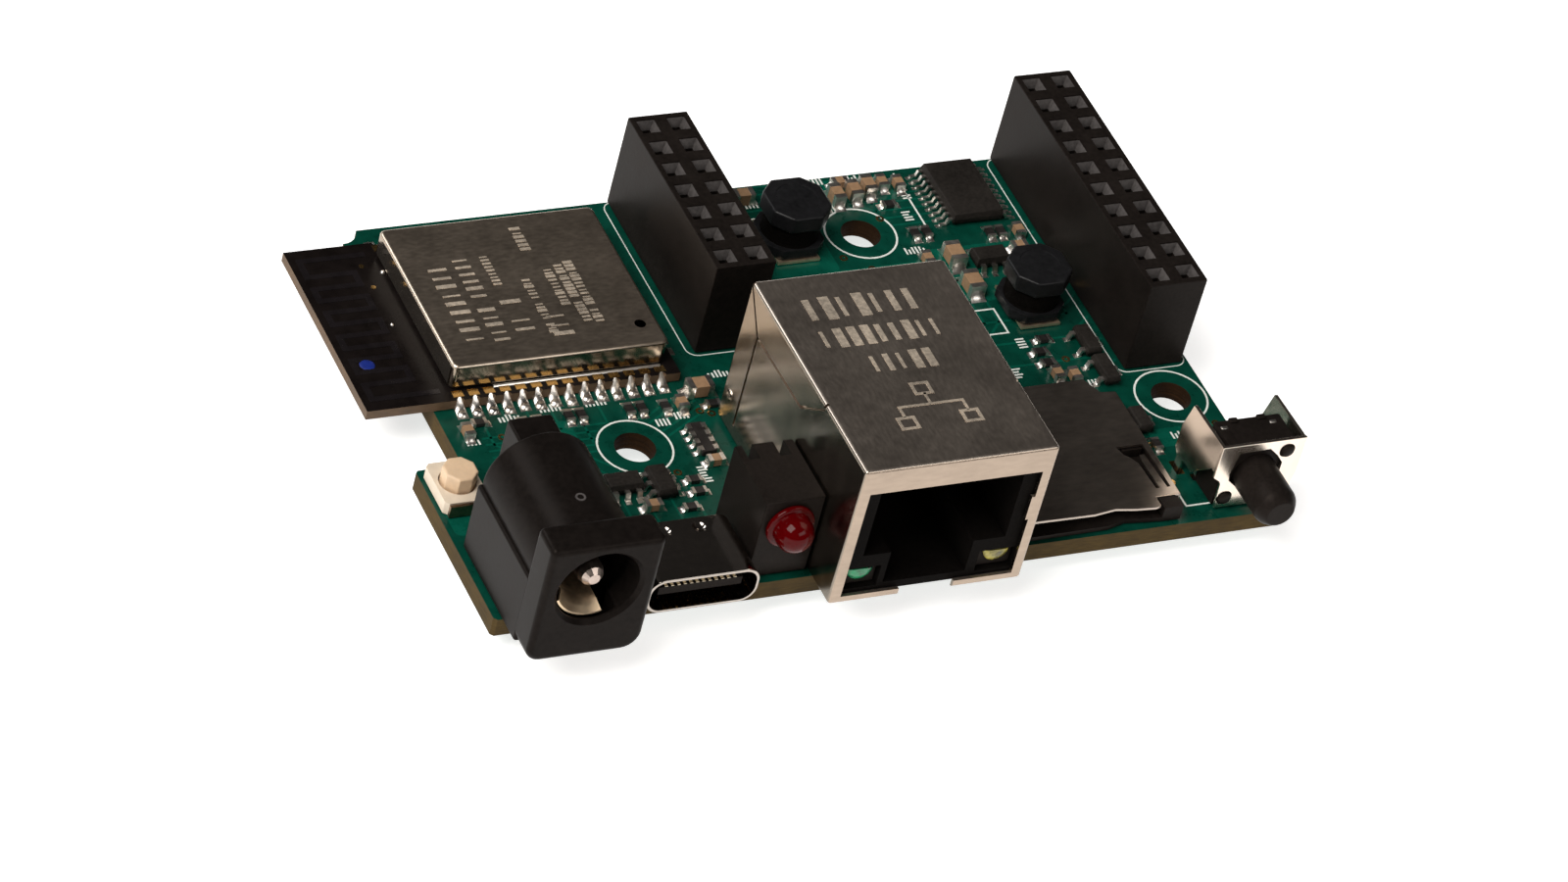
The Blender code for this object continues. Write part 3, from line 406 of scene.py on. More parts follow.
CREAM = surface("cream_moulding", (0.68, 0.49, 0.32), 0.42, grain=1800.0, mottle=0.08,
    Subsurface_Weight=0.1, Subsurface_Radius=(0.001, 0.0007, 0.0005))
IVORY = surface("ivory_moulding", (0.66, 0.56, 0.44), 0.45, grain=1800.0, mottle=0.08)
# Dark brown metal for the top button's frame: painted shade.
CLIP_PAINTED_SHADE = surface("clip_metal_painted_shade", (0.30, 0.20, 0.13), 0.35, 1.0, grain=1600.0, bump=0.3)
RED = surface("red_lens", (0.07, 0.0004, 0.001), 0.08, grain=700.0, mottle=0.1, spread=0.03,
    bump=0.02, Transmission_Weight=0.12, IOR=1.22)
GREEN_LENS = surface("green_lens", (0.008, 0.26, 0.10), 0.1, grain=900.0, mottle=0.7, spread=0.04,
    patches=900.0, bump=0.3, Transmission_Weight=0.35, IOR=1.5)
YELLOW_LENS = surface("yellow_lens", (0.42, 0.36, 0.07), 0.1, grain=900.0, mottle=0.7, spread=0.04,
    patches=900.0, bump=0.3, Transmission_Weight=0.35, IOR=1.5)
COPPER = surface("enamelled_copper", (0.55, 0.22, 0.09), 0.3, 1.0, grain=1500.0, stretch=(1, 1, 4),
    mottle=0.2, bump=0.4)
ETCH = surface("laser_etched_mark", (0.85, 0.74, 0.61), 0.6, 1.0, grain=3000.0, mottle=0.12, bump=0.3)
# Drilled fibre wall, far darker than the board edge: the streaky grain is the wall's own, the darkness
# is painted shade inside the holes.
HOLE_WALL_PAINTED_SHADE = surface("drilled_wall_painted_shade", (0.02, 0.0095, 0.004), 0.6, grain=500.0, stretch=(0.2, 0.2, 12),
    mottle=0.6, spread=0.15, bump=0.8, depth=0.00008, IOR=1.1)
BLUE = surface("blue_ink", (0.006, 0.018, 0.16), 0.4, grain=1800.0)

CAD_LOOKS = (
    (MASK, "main_board"), (MODULE, "module_board"), (PIN_METAL, "jack_centre_pin"),
    (CHIP, "module_processor_chip module_memory_chip network_magnetics network_chip"),
    (TERMINAL, "jack_switch_contact strip_short_contacts_left strip_short_contacts_right"),
    (TERMINAL, "strip_long_contacts_left strip_long_contacts_right"),
    (BLACK, "usb_tongue card_base card_slider"), (FINGERS, "usb_contacts_top"),
    (GOLD, "usb_contacts_bottom network_contacts card_contacts"),
    (TIN, "lamp_lead_left lamp_lead_right network_pins side_button_terminals"),
    # The network housing inside the shield takes the darkened black: painted shade.
    (BLACK_PAINTED_SHADE, "network_housing"), (NICKEL, "side_button_dome"), (IVORY, "top_button_base"),
    # The top button's frame takes the dark brown metal: painted shade.
    (CLIP_PAINTED_SHADE, "top_button_frame"), (FERRITE, "choke_rear_drum choke_right_drum"),
    (COPPER, "choke_rear_winding choke_right_winding"),
    (CHOKE_LIP, "choke_rear_terminals choke_right_terminals"),
)
for mat, node_names in CAD_LOOKS:
    for node_name in node_names.split():
        mesh = NODES[node_name].data
        mesh.materials.clear()
        mesh.materials.append(mat)
for node_name, edge in (("main_board", EDGE), ("module_board", MODULE_EDGE)):
    mesh = NODES[node_name].data
    mesh.materials.append(edge)
    for face in mesh.polygons:
        face.material_index = 1 if abs(face.normal.z) < 0.5 else 0

# ---- printed circuit

MOUNT_HOLES = ((17.55, 15.5), (45.2, 35.5), (62.1, 13.5))
HOLE_REACH = 1.7  # a hole's wall faces have their centres within this distance
board_mesh = NODES["main_board"].data
# Edge faces round the mounting holes take the darkened wall colour: painted shade inside the holes.
board_mesh.materials.append(HOLE_WALL_PAINTED_SHADE)
for face in board_mesh.polygons:
    if face.material_index != 1:
        continue
    spot = (face.center - ORIGIN) / MM
    if any(math.hypot(spot.x - x, spot.y - y) < HOLE_REACH for x, y in MOUNT_HOLES):
        face.material_index = 2

PITCH = 2.54
SHORT_LOW, SHORT_HIGH = box_mm("strip_short_housing")
LONG_LOW, LONG_HIGH = box_mm("strip_long_housing")


def strip_places(low, high):
    count = round((high.y - low.y) / PITCH)
    mid_x, mid_y = 0.5 * (low.x + high.x), 0.5 * (low.y + high.y)
    return [
        (mid_x + side * HALF_PITCH, mid_y + PITCH * (k - 0.5 * (count - 1)))
        for side in (-1, 1) for k in range(count)
    ]


SHORT_PLACES = strip_places(SHORT_LOW, SHORT_HIGH)
LONG_PLACES = strip_places(LONG_LOW, LONG_HIGH)

RING = (2.82, 2.98)
LINE = 0.15
BAR_STEP = 0.31
BAR_RISES = (0.62, 0.62, 0.4)
silk = new()
for x, y in MOUNT_HOLES:
    annulus(silk, x, y, *RING, 0.0, INK)
for low, high in ((SHORT_LOW, SHORT_HIGH), (LONG_LOW, LONG_HIGH)):
    rear = min(high.y + 0.3, BOARD_Y - 0.1)
    outline = rounded(low.x - 0.5, high.x + 0.5, low.y - 0.22, rear, (0.9,) * 4)
    strip(silk, outline + outline[:1], 0.085)
for points in (
    ((57.7, 4.4), (57.7, 1.75), (65.0, 1.75)),
    ((50.4, 22.6), (52.2, 22.6), (52.2, 25.4), (50.4, 25.4), (50.4, 22.6)),
    ((35.6, 32.6), (35.6, 38.5), (41.8, 38.5)),
    ((50.9, 34.6), (50.9, 41.8)), ((10.6, 8.2), (10.6, 12.6)), ((20.1, 0.4), (20.1, 7.4)),
):
    strip(silk, points, LINE)


def mark(x, y, count, turned_mark=False):
    """A few short bars that stand for a printed part label, with no lettering."""
    for k in range(2 * count):
        step = BAR_STEP * k
        dx, dy = (0.0, step) if turned_mark else (step, 0.0)
        rise = random_marks.choice(BAR_RISES)
        ex, ey = (rise, 0.0) if turned_mark else (0.0, rise)
        strip(silk, ((x + dx, y + dy), (x + dx + ex, y + dy + ey)), LINE)


for x, y, count, turn in (
    (8.4, 19.9, 3, False), (11.4, 8.7, 2, True), (20.3, 17.4, 2, False), (22.0, 17.9, 2, False),
    (13.0, 13.3, 2, True), (21.4, 11.0, 3, True), (15.6, 20.4, 3, False), (11.9, 20.4, 3, False),
    (42.7, 38.4, 3, False), (46.0, 41.5, 3, False), (49.6, 36.4, 2, True), (48.0, 32.6, 3, False),
    (57.6, 31.0, 2, True), (55.8, 29.4, 3, False), (49.0, 29.4, 2, True), (52.4, 20.8, 2, True),
    (50.6, 17.6, 2, True), (55.9, 15.7, 2, False), (60.2, 9.0, 3, False),
    (43.6, 41.6, 2, False), (50.5, 38.9, 2, True), (26.4, 21.8, 3, False),
    (42.6, 16.2, 3, False), (46.6, 16.2, 2, False), (42.8, 20.6, 3, False), (5.0, 17.9, 2, False),
    (12.3, 6.6, 3, False), (63.2, 8.2, 2, False), (36.6, 39.8, 3, False), (33.0, 40.6, 3, False),
):
    mark(x, y, count, turn)
piece("printed_marks", [solid(silk)], SILK)

copper = new()
CLEAR = 3.15
WIDE = 0.22
THIN = 0.2
PATCH_TOP = 0.008


def track(points, width):
    """Masked track that stops short of the mounting holes' keep-out circles."""
    for a, b in zip(points, points[1:]):
        a, b = Vector(a), Vector(b)
        run = b - a
        cuts = [0.0, 1.0]
        for hole in MOUNT_HOLES:
            to_hole = Vector(hole) - a
            near = to_hole.dot(run) / run.length_squared
            miss = (to_hole - run * near).length
            if miss < CLEAR:
                half = math.sqrt(CLEAR ** 2 - miss ** 2) / run.length
                cuts += [min(max(near - half, 0.0), 1.0), min(max(near + half, 0.0), 1.0)]
        cuts.sort()
        for t0, t1 in zip(cuts, cuts[1:]):
            middle = a + run * (0.5 * (t0 + t1))
            if t1 - t0 > 0.01 and all((middle - Vector(hole)).length > CLEAR for hole in MOUNT_HOLES):
                strip(copper, (tuple(a + run * t0), tuple(a + run * t1)), width, 0.0, TRACK_TOP)


for k in range(7):
    y = 18.2 + PITCH * k
    track(((59.4, y), (57.9, y - 1.2), (57.9, y - 1.9), (46.0 - k, y - 1.9)), WIDE)
for k in range(6):
    x = 7.0 + 1.9 * k
    track(((x, 21.0), (x, 17.6 - 0.5 * k), (x + 3.5, 14.1 - 0.5 * k), (x + 3.5, 5.0)), THIN)
for k in range(5):
    track(((24.5, 21.2 - 0.7 * k), (19.5, 18.4 - 0.7 * k), (6.4, 18.4 - 0.7 * k)), THIN)
for k in range(6):
    y = 36.0 + 0.9 * k
    track(((51.9, y), (47.6, y), (45.9 - k * 0.4, y + 1.6), (32.4, y + 1.6)), THIN)
for k in range(5):
    x = 43.4 + 1.3 * k
    track(((x, 15.4), (x, 20.5), (x + 3.4, 23.9), (x + 3.4, 31.0)), WIDE)
for x0, x1, y0, y1 in (
    (49.6, 58.6, 26.4, 32.8), (34.8, 41.8, 31.6, 38.4), (10.9, 13.6, 9.2, 19.2),
    (58.3, 64.6, 8.2, 10.2), (43.0, 50.0, 38.8, 41.9), (0.5, 3.6, 8.8, 15.6),
):
    prism(copper, rounded(x0, x1, y0, y1, (0.5,) * 4, 4), 0.0, PATCH_TOP)
piece("masked_copper_tracks", [solid(copper)], TRACE)

VIA_RING = (0.16, 0.34)
PIN_RING = (0.6, 0.95)
holes_plated = new()
for x, y in ((19.7, 12.3), (24.1, 18.4), (24.9, 18.0), (55.5, 18.95), (48.3, 20.2), (50.0, 21.8),
             (44.4, 31.4), (58.6, 27.0), (12.0, 16.4), (7.9, 18.3), (9.6, 17.2), (46.6, 31.0),
             (60.6, 8.0), (64.3, 10.0), (63.9, 2.2), (57.7, 4.4), (57.8, 8.6), (11.9, 14.6),
             (42.2, 22.2), (34.2, 22.0), (52.4, 33.2), (56.8, 26.8), (47.5, 36.9), (42.6, 33.0)):
    annulus(holes_plated, x, y, *VIA_RING, 0.0, PLATING, 16)
for places in (SHORT_PLACES, LONG_PLACES):
    for x, y in places:
        annulus(holes_plated, x, y, *PIN_RING, -BOARD_T - PLATING, -BOARD_T, 20)
piece("plated_rings", [solid(holes_plated)], GOLD)

# ---- solder


# Share of a solder wedge's half width, and of its height there
ROUND_BACK = ((0.96, 0.5), (0.62, 0.88), (0.0, 1.0), (-0.62, 0.88), (-0.96, 0.5))
NET_PIN_COUNT = 10
NET_PIN_ROW = 13.2


def fillet(bm, x, y, dx, dy, reach, width, height, base=0.03):
    """Hollow-sloped wedge of solder with a rounded back, running outwards from (x, y)."""
    slope = ((0.0, height), (0.2, 0.62 * height), (0.48, 0.3 * height), (0.8, 0.12 * height))
    rings = []
    for s, h in slope + ((1.0, base),):
        w = 0.5 * width * (0.86 + 0.14 * s)
        cx, cy = x + dx * reach * s, y + dy * reach * s
        ring = [(cx + dy * w, cy - dx * w, 0.0), (cx - dy * w, cy + dx * w, 0.0)]
        for t, rise in ROUND_BACK:
            ring.append((cx - dy * w * t, cy + dx * w * t, h * rise))
        rings.append(ring)
    loft(bm, rings)


def joint_below(bm, x, y, radius=0.85, rise=1.25):
    """Solder cone round a pin on the board's underside."""
    base = -BOARD_T - 0.02
    turned(bm, ((radius, base), (radius * 0.86, base - 0.12), (radius * 0.56, base - 0.45 * rise),
                (0.36, base - 0.8 * rise), (0.24, base - rise)), (x, y), "Z", 16)


under = new()
for x, y in SHORT_PLACES + LONG_PLACES:
    joint_below(under, x, y)
net_low, net_high = box_mm("network_shield")
NET_MID = 0.5 * (net_low.x + net_high.x)
for k in range(NET_PIN_COUNT):
    joint_below(under, NET_MID + HALF_PITCH * (k - 0.5 * (NET_PIN_COUNT - 1)), NET_PIN_ROW, 0.5, 0.9)
for x, y, r in (
    (net_low.x + 0.15, 8.6, 0.9), (net_high.x - 0.15, 8.6, 0.9), (4.93, 9.2, 1.4), (4.93, 3.2, 1.4),
    (8.3, 6.2, 1.3), (21.33, 6.2, 0.75), (23.87, 6.2, 0.75), (60.15, 4.65, 0.75), (64.65, 4.65, 0.75),
    (58.97, 5.9, 0.95), (65.0, 5.9, 0.28),
):
    joint_below(under, x, y, r)
piece("solder_underside", [solid(under)], TIN)

pads = new()
M_LOW, M_HIGH = box_mm("module_board")
M_TOP = M_HIGH.z
CASTLE_X = [M_LOW.x + 7.5 + HALF_PITCH * k for k in range(14)]
CASTLE_Y = [M_LOW.y + 3.3 + HALF_PITCH * k for k in range(10)]
WEDGE_HEIGHT = 0.98
LAND = 0.42
LAND_IN = 0.34
for x in CASTLE_X:
    fillet(pads, x, M_LOW.y + 0.3, 0, -1, 1.4 + 0.16 * random_marks.random(), 0.94, WEDGE_HEIGHT)
    blob_x = x + 0.06 * (random_marks.random() - 0.5)
    blob_y = M_LOW.y - 0.62 - 0.14 * random_marks.random()
    turned(pads, ((0.4, 0.0), (LAND, 0.1), (0.33, 0.24), (0.16, 0.31)), (blob_x, blob_y), "Z", 16)
    fillet(pads, x, M_HIGH.y - 0.3, 0, 1, 1.35, 0.86, WEDGE_HEIGHT)
for y in CASTLE_Y:
    fillet(pads, M_HIGH.x - 0.3, y, 1, 0, 1.25, 0.86, WEDGE_HEIGHT)
piece("module_solder", [solid(pads)], TIN)
lands = new()
for x in CASTLE_X:
    for y0, y1 in ((M_LOW.y + LAND_IN, M_LOW.y + 1.0), (M_HIGH.y - 1.0, M_HIGH.y - LAND_IN)):
        box(lands, x - LAND, x + LAND, y0, y1, M_TOP, M_TOP + PLATING)
for y in CASTLE_Y:
    box(lands, M_HIGH.x - 0.85, M_HIGH.x - LAND_IN, y - LAND, y + LAND, M_TOP, M_TOP + PLATING)
piece("module_lands", [solid(lands)], GOLD)

AERIAL_X0, AERIAL_X1 = -0.9, 2.9
AERIAL_STEP = 1.35
aerial = new()
meander = [(4.3, 23.0), (AERIAL_X0, 23.0)]
for k in range(5):
    y = 24.6 + 2.0 * AERIAL_STEP * k
    turn_y = y + AERIAL_STEP
    meander += [(AERIAL_X0, y), (AERIAL_X1, y), (AERIAL_X1, turn_y), (AERIAL_X0, turn_y)]
meander += [(AERIAL_X0, 38.6), (4.2, 38.6)]
strip(aerial, meander, 0.5, M_TOP, M_TOP + PLATING)
AERIAL = surface("masked_aerial", (0.0085, 0.0068, 0.0074), 0.26, grain=1100.0, mottle=0.25,
                 bump=0.12, IOR=1.3)
piece("module_aerial", [solid(aerial)], AERIAL)
vias = new()
for x, y in ((3.69, 37.34), (3.75, 34.91)):
    annulus(vias, x, y, 0.06, 0.2, M_TOP, M_TOP + PLATING, 14)
piece("module_vias", [solid(vias)], GOLD)
ink = new()
turned(ink, ((0.6, M_TOP), (0.5, M_TOP + 0.045), (0.25, M_TOP + 0.06)), (0.1, 26.7), "Z", 18)
piece("ink_dot", [solid(ink)], BLUE)

# ---- radio module can

CAN_SHEET = 0.2
can_low, can_high = box_mm("module_can")
can = prism(new(), rounded(can_low.x, can_high.x, can_low.y, can_high.y, (0.55,) * 4, 6),
            can_low.z, can_high.z)
inner_outline = rounded(can_low.x + CAN_SHEET, can_high.x - CAN_SHEET, can_low.y + CAN_SHEET,
                        can_high.y - CAN_SHEET, (0.4,) * 4, 6)
inside = prism(new(), inner_outline, can_low.z - PAST, can_high.z - CAN_SHEET)
vent = prism(new(), circle(21.3, 25.2, 0.45, 24), can_high.z - PAST, can_high.z + PAST)
can_cover = piece("can_cover", [solid(can, 0.28, (inside, vent), 4)], [CAN, CAN_SIDE_PAINTED_SHADE],
                  replaces="module_can")
# Upright faces take the darker copy of the can metal: painted shade on the can's sides.
for face in can_cover.data.polygons:
    if abs(face.normal.z) < 0.35:
        face.material_index = 1
bead = new()
lips = [(can_low.y - 0.02 - 0.2 * math.sin(a), M_TOP - 0.02 + 0.17 * math.cos(a) ** 2)
        for a in (math.radians(15 * k) for k in range(7))]
prism(bead, [(can_low.y + 0.1, M_TOP - 0.02)] + lips[::-1], can_low.x + 3.6, can_high.x - 0.4, "X")
for x, y, r in ((can_low.x - 0.1, 36.4, 0.22), (3.62, 30.64, 0.16)):
    drop = ((r, M_TOP), (0.85 * r, M_TOP + 0.4 * r), (0.4 * r, M_TOP + 0.75 * r))
    turned(bead, drop, (x, y), "Z", 12)
piece("can_solder", [solid(bead)], TIN)

etched = new()


def etch(points, width, top):
    strip(etched, points, width, top - 0.005, top + 0.008)


def etched_row(x, y, count, height, top, turn, weight, gaps):
    """Row of plain upright bars of uneven width, in place of a line of printing."""
    pitch = height * 0.78

    def spot(a, b):
        return (x - b, y + a) if turn else (x + a, y + b)

    for k in range(count):
        if k in gaps:
            continue
        wide = weight * random_marks.choice((1.0, 1.6, 2.4))
        a = k * pitch + 0.5 * wide
        etch([spot(a, 0.0), spot(a, height)], wide, top)


# ---- power jack

jack_low, jack_high = box_mm("jack_housing")
pin_high = box_mm("jack_centre_pin")[1]
JX, JZ = 0.5 * (jack_low.x + jack_high.x), pin_high.z - 1.0
BORE = 3.2
BARREL_Z = 6.55
BARREL_R = 4.2
POCKET_X = (JX - 2.9, JX + 2.0)
POCKET_Z = (2.6, 5.6)
flange_back = -1.9
body_back = 7.7


def bore_cut(back):
    mouth = ((3.5, jack_low.y - 0.4), (3.5, jack_low.y - 0.02), (BORE, jack_low.y + 0.32), (BORE, back))
    return turned(new(), mouth, (JX, JZ), "Y", 48)


flange = prism(new(), rounded(jack_low.x, jack_high.x, jack_low.z, jack_high.z, (1.1, 1.5, 0.5, 0.5)),
               jack_low.y, flange_back, "Y")
pocket_front = box(new(), *POCKET_X, jack_low.y + 0.5, 0.0, *POCKET_Z)
block = box(new(), jack_low.x, jack_high.x, flange_back - 0.6, body_back, jack_low.z, 6.3)
pocket_block = box(new(), *POCKET_X, -5.0, 4.0, *POCKET_Z)
lug_block = box(new(), JX - 1.3, JX + 1.3, 2.7, 3.7, -1.0, 3.0)
switch_block = box(new(), JX + 2.3, 12.0, 5.7, 6.7, -1.0, 4.4)
barrel_profile = (
    (BARREL_R, flange_back - 0.5), (BARREL_R, body_back - 0.35), (4.08, body_back - 0.1),
    (3.85, body_back),
)
barrel = turned(new(), barrel_profile, (JX, BARREL_Z), "Y", 64)
below = box(new(), JX - 5.0, JX + 5.0, -4.0, 9.0, 1.0, 6.25)
rear = box(new(), JX - 1.75, JX + 1.75, body_back - 1.4, jack_high.y, jack_low.z + 0.5, 9.75)
rear_hole = turned(new(), ((1.2, 5.0), (1.2, 12.0)), (JX, JZ), "Y", 24)
rear_slot = box(new(), JX - 1.2, JX + 1.2, 8.7, 9.7, -1.0, JZ)
ejector = new()
tilt = math.radians(-2.0)
annulus(ejector, 0.0, 0.0, 0.24, 0.4, 4.14, 4.26, 24)
to_barrel = Matrix.Translation(at(JX, 0.6, BARREL_Z)) @ Matrix.Rotation(tilt, 4, "Y")
bmesh.ops.transform(ejector, verts=ejector.verts, matrix=to_barrel @ Matrix.Translation(-ORIGIN))
piece("jack_moulding", [
    solid(flange, 0.62, (bore_cut(0.0), pocket_front), 5),
    solid(block, 0.25, (bore_cut(5.2), pocket_block, lug_block, switch_block), 3),
    solid(barrel, 0.0, (bore_cut(5.2), below)),
    solid(rear, 0.25, (rear_hole, rear_slot), 3),
    # The ejector ring takes the grey: a painted highlight on the black moulding.
    solid(ejector, 0.05, slot=1),
], [SATIN_BLACK, GREY_PAINTED_HIGHLIGHT], replaces="jack_housing")

LEAF_REACH = ((-3.7, 2.86), (-3.3, 2.62), (-2.5, 2.52), (1.0, 2.75), (2.2, 3.0))
LEAF_SHEET = 0.16
spring_low, spring_high = box_mm("jack_sleeve_spring")
leaf = loft(new(), [
    [(JX + r * math.cos(a), y, JZ + r * math.sin(a)) for r, a in arc]
    for y, arc in (
        (y, [(reach, math.radians(205 + 6 * k)) for k in range(15)]
         + [(reach - LEAF_SHEET, math.radians(289 - 6 * k)) for k in range(15)])
        for y, reach in ((spring_low.y, 3.1),) + LEAF_REACH
    )
])
tail = prism(new(), (
    (1.4, 3.25), (spring_high.y, 3.25), (spring_high.y, PIN_END), (spring_high.y - 0.3, PIN_END),
    (spring_high.y - 0.3, 2.95), (1.4, 2.95),
), JX - 1.0, JX + 1.0, "X")
piece("sleeve_spring", [solid(leaf), solid(tail, 0.05)], SPRING, replaces="jack_sleeve_spring")

# ---- USB receptacle

usb_low, usb_high = box_mm("usb_shell")
UX, UZ0, UZ1 = 0.5 * (usb_low.x + usb_high.x), LIFT, usb_high.z
USB_WALL = 0.22
LEG_X, LEG_Y = 0.15, 0.5
shell_outline = rounded(usb_low.x, usb_high.x, UZ0, UZ1, (1.3,) * 4, 10)
shell = prism(new(), shell_outline, usb_low.y, usb_high.y, "Y")
hollow_outline = rounded(usb_low.x + USB_WALL, usb_high.x - USB_WALL, UZ0 + USB_WALL, UZ1 - USB_WALL,
                         (1.1,) * 4, 10)
hollow = prism(new(), hollow_outline, usb_low.y - PAST, usb_high.y - 0.3, "Y")
dimples = [
    turned(new(), ((0.1, UZ1 - 0.2), (0.36, UZ1 - 0.13), (0.54, UZ1 + 0.02), (0.54, UZ1 + 0.3)),
           (UX + s, 3.3), "Z", 24)
    for s in (-1.4, 1.4)
]
legs = new()
for s in (-1, 1):
    for y in (0.95, 3.4):
        x = UX + s * (0.5 * (usb_high.x - usb_low.x) - LEG_X)
        box(legs, x - LEG_X, x + LEG_X, y - LEG_Y, y + LEG_Y, -BOARD_T - 0.25, 1.6)
piece("usb_shell_metal", [solid(shell, 0.09, [hollow] + dimples, 3), solid(legs, 0.05)], SHELL,
      replaces="usb_shell")

tips = new()
tongue_low, tongue_high = box_mm("usb_tongue")
TIP_Z = 0.5 * (tongue_low.z + tongue_high.z) + 0.35
for k in range(12):
    x = UX + 0.5 * (k - 5.5)
    box(tips, x - 0.12, x + 0.12, tongue_low.y + 0.02, usb_low.y + 0.95, TIP_Z - 0.05, TIP_Z + 0.06)
piece("usb_contact_tips", [solid(tips)], FINGERS)

# ---- indicator lamp

lamp_low, lamp_high = box_mm("lamp_holder")
lens_low, lens_high = box_mm("lamp_lens")
LX, LZ = 0.5 * (lens_low.x + lens_high.x), 0.5 * (lens_low.z + lens_high.z)
holder = box(new(), lamp_low.x, lamp_high.x, lamp_low.y, lamp_high.y, lamp_low.z, lamp_high.z)
lamp_bore = turned(new(), ((1.62, lamp_low.y - PAST), (1.62, 4.6)), (LX, LZ), "Y", 40)
GROOVE = 0.45
LENS_R = 1.5
grooves, channels = new(), new()
for x in (LX - HALF_PITCH, LX + HALF_PITCH):
    box(grooves, x - GROOVE, x + GROOVE, 5.3, lamp_high.y + PAST, -PAST, lamp_high.z + PAST)
    box(channels, x - GROOVE, x + GROOVE, 4.0, 5.8, LZ - GROOVE, LZ + GROOVE)
piece("lamp_block", [solid(holder, 0.14, (lamp_bore, grooves, channels))], BLACK,
      replaces="lamp_holder")

dome = []
for k in range(13):
    a = math.radians(7.5 * k)
    dome.append((LENS_R * math.sin(a), lens_low.y + LENS_R * (1 - math.cos(a))))
rim_back = lamp_low.y - 0.06
dome += [
    (LENS_R, 0.12), (1.58, 0.16), (1.84, 0.18), (1.9, 0.24), (1.9, rim_back - 0.03), (1.87, rim_back),
    (1.52, rim_back), (LENS_R, rim_back + 0.04), (LENS_R, lens_high.y),
]
piece("lamp_dome", [solid(turned(new(), dome, (LX, LZ), "Y", 48))], RED, replaces="lamp_lens",
      sharp=50.0)

# ---- network jack

NX0, NX1, NY0, NY1, NTOP = net_low.x, net_high.x, net_low.y, net_high.y, net_high.z
WALL = 0.3
shell = box(new(), NX0, NX1, NY0, NY1, LIFT, NTOP)
room = box(new(), NX0 + WALL, NX1 - WALL, NY0 + WALL, NY1 - WALL, -4.0, NTOP - WALL)
mouth = [(26.1, 0.8), (30.9, 0.8), (30.9, -1.0), (35.4, -1.0), (35.4, 0.8), (40.2, 0.8), (40.2, 6.2),
         (39.95, 6.2), (39.95, 8.45), (40.2, 8.45), (40.2, 10.95), (26.1, 10.95)]
opening = prism(new(), mouth, NY0 - PAST, NY0 + PAST, "Y")
GAP = 0.24
SLIT_IN = 0.29


def slit(points, x0, x1):
    """Cutters for narrow gaps that follow lines in the (y, z) plane of a side wall."""
    return [prism(new(), band(a, b, GAP, 0.3), x0, x1, "X") for a, b in zip(points, points[1:])]


FLAP = ((4.1, NTOP + 0.2), (4.15, NTOP - 0.5), (7.27, 10.24), (15.2, 10.0), (17.75, NTOP - 0.1))
SEAM = ((15.2, 10.05), (15.2, 1.3))
side_gaps = []
for x0, x1 in ((NX0 - PAST, NX0 + SLIT_IN), (NX1 - SLIT_IN, NX1 + PAST)):
    side_gaps += slit(FLAP, x0, x1) + slit(SEAM, x0, x1)
latch_bumps = new()
for x, side in ((NX0, -1), (NX1, 1)):
    loft(latch_bumps, [
        [(x + side * out, 16.7 + a * f, 3.0 + b * f) for a, b in circle(0.0, 0.0, 0.5, 16)]
        for out, f in ((-0.1, 1.0), (0.08, 0.9), (0.2, 0.6), (0.24, 0.2))
    ])
inner_springs = new()
for x, side in ((NX0 + 0.5, 1), (NX1 - 0.5, -1)):
    prism(inner_springs, ((x, NY0 + 0.4), (x + side * 0.12, NY0 + 0.4), (x + side * 0.75, 0.6),
                          (x + side * 0.6, 0.7)), 8.2, 10.2)
tabs = new()
for x in (NX0 + 0.15, NX1 - 0.15):
    box(tabs, x - 0.15, x + 0.15, 8.05, 9.15, PIN_END, 2.0)
shield = piece("shield_metal", [
    solid(shell, 0.3, [room, opening] + side_gaps, 4), solid(tabs, 0.05), solid(latch_bumps),
    solid(inner_springs, 0.03),
], [SHIELD, SHIELD_FRONT_PAINTED_SHADE, SHIELD_SIDE_PAINTED_SHADE], replaces="network_shield")
# Front faces, and side and back faces, take the darker copies of the shield sheet: painted shade by
# face direction.
for face in shield.data.polygons:
    if face.normal.y < -0.6:
        face.material_index = 1
    elif abs(face.normal.x) > 0.6 or face.normal.y > 0.6:
        face.material_index = 2

for name, lens in (("green", GREEN_LENS), ("yellow", YELLOW_LENS)):
    node = "network_lamp_" + name
    low, high = box_mm(node)
    arch_z = high.z - 0.1
    middle = 0.5 * (low.x + high.x)
    frame_block = box(new(), low.x, high.x, low.y + 0.35, high.y, low.z, high.z)
    arch = [(middle + 1.05 * math.cos(a), arch_z + 1.15 * math.sin(a))
            for a in (math.radians(180 + 15 * k) for k in range(13))]
    bead = loft(new(), [
        [(middle + (px - middle) * f, low.y + dy, arch_z + (pz - arch_z) * f) for px, pz in arch]
        for f, dy in ((1.0, 0.6), (1.0, 0.2), (0.86, 0.06), (0.6, 0.0))
    ])
    piece(name + "_network_lamp", [solid(frame_block, 0.1), solid(bead, slot=1)],
          [BLACK, lens], replaces=node)

# ---- card socket

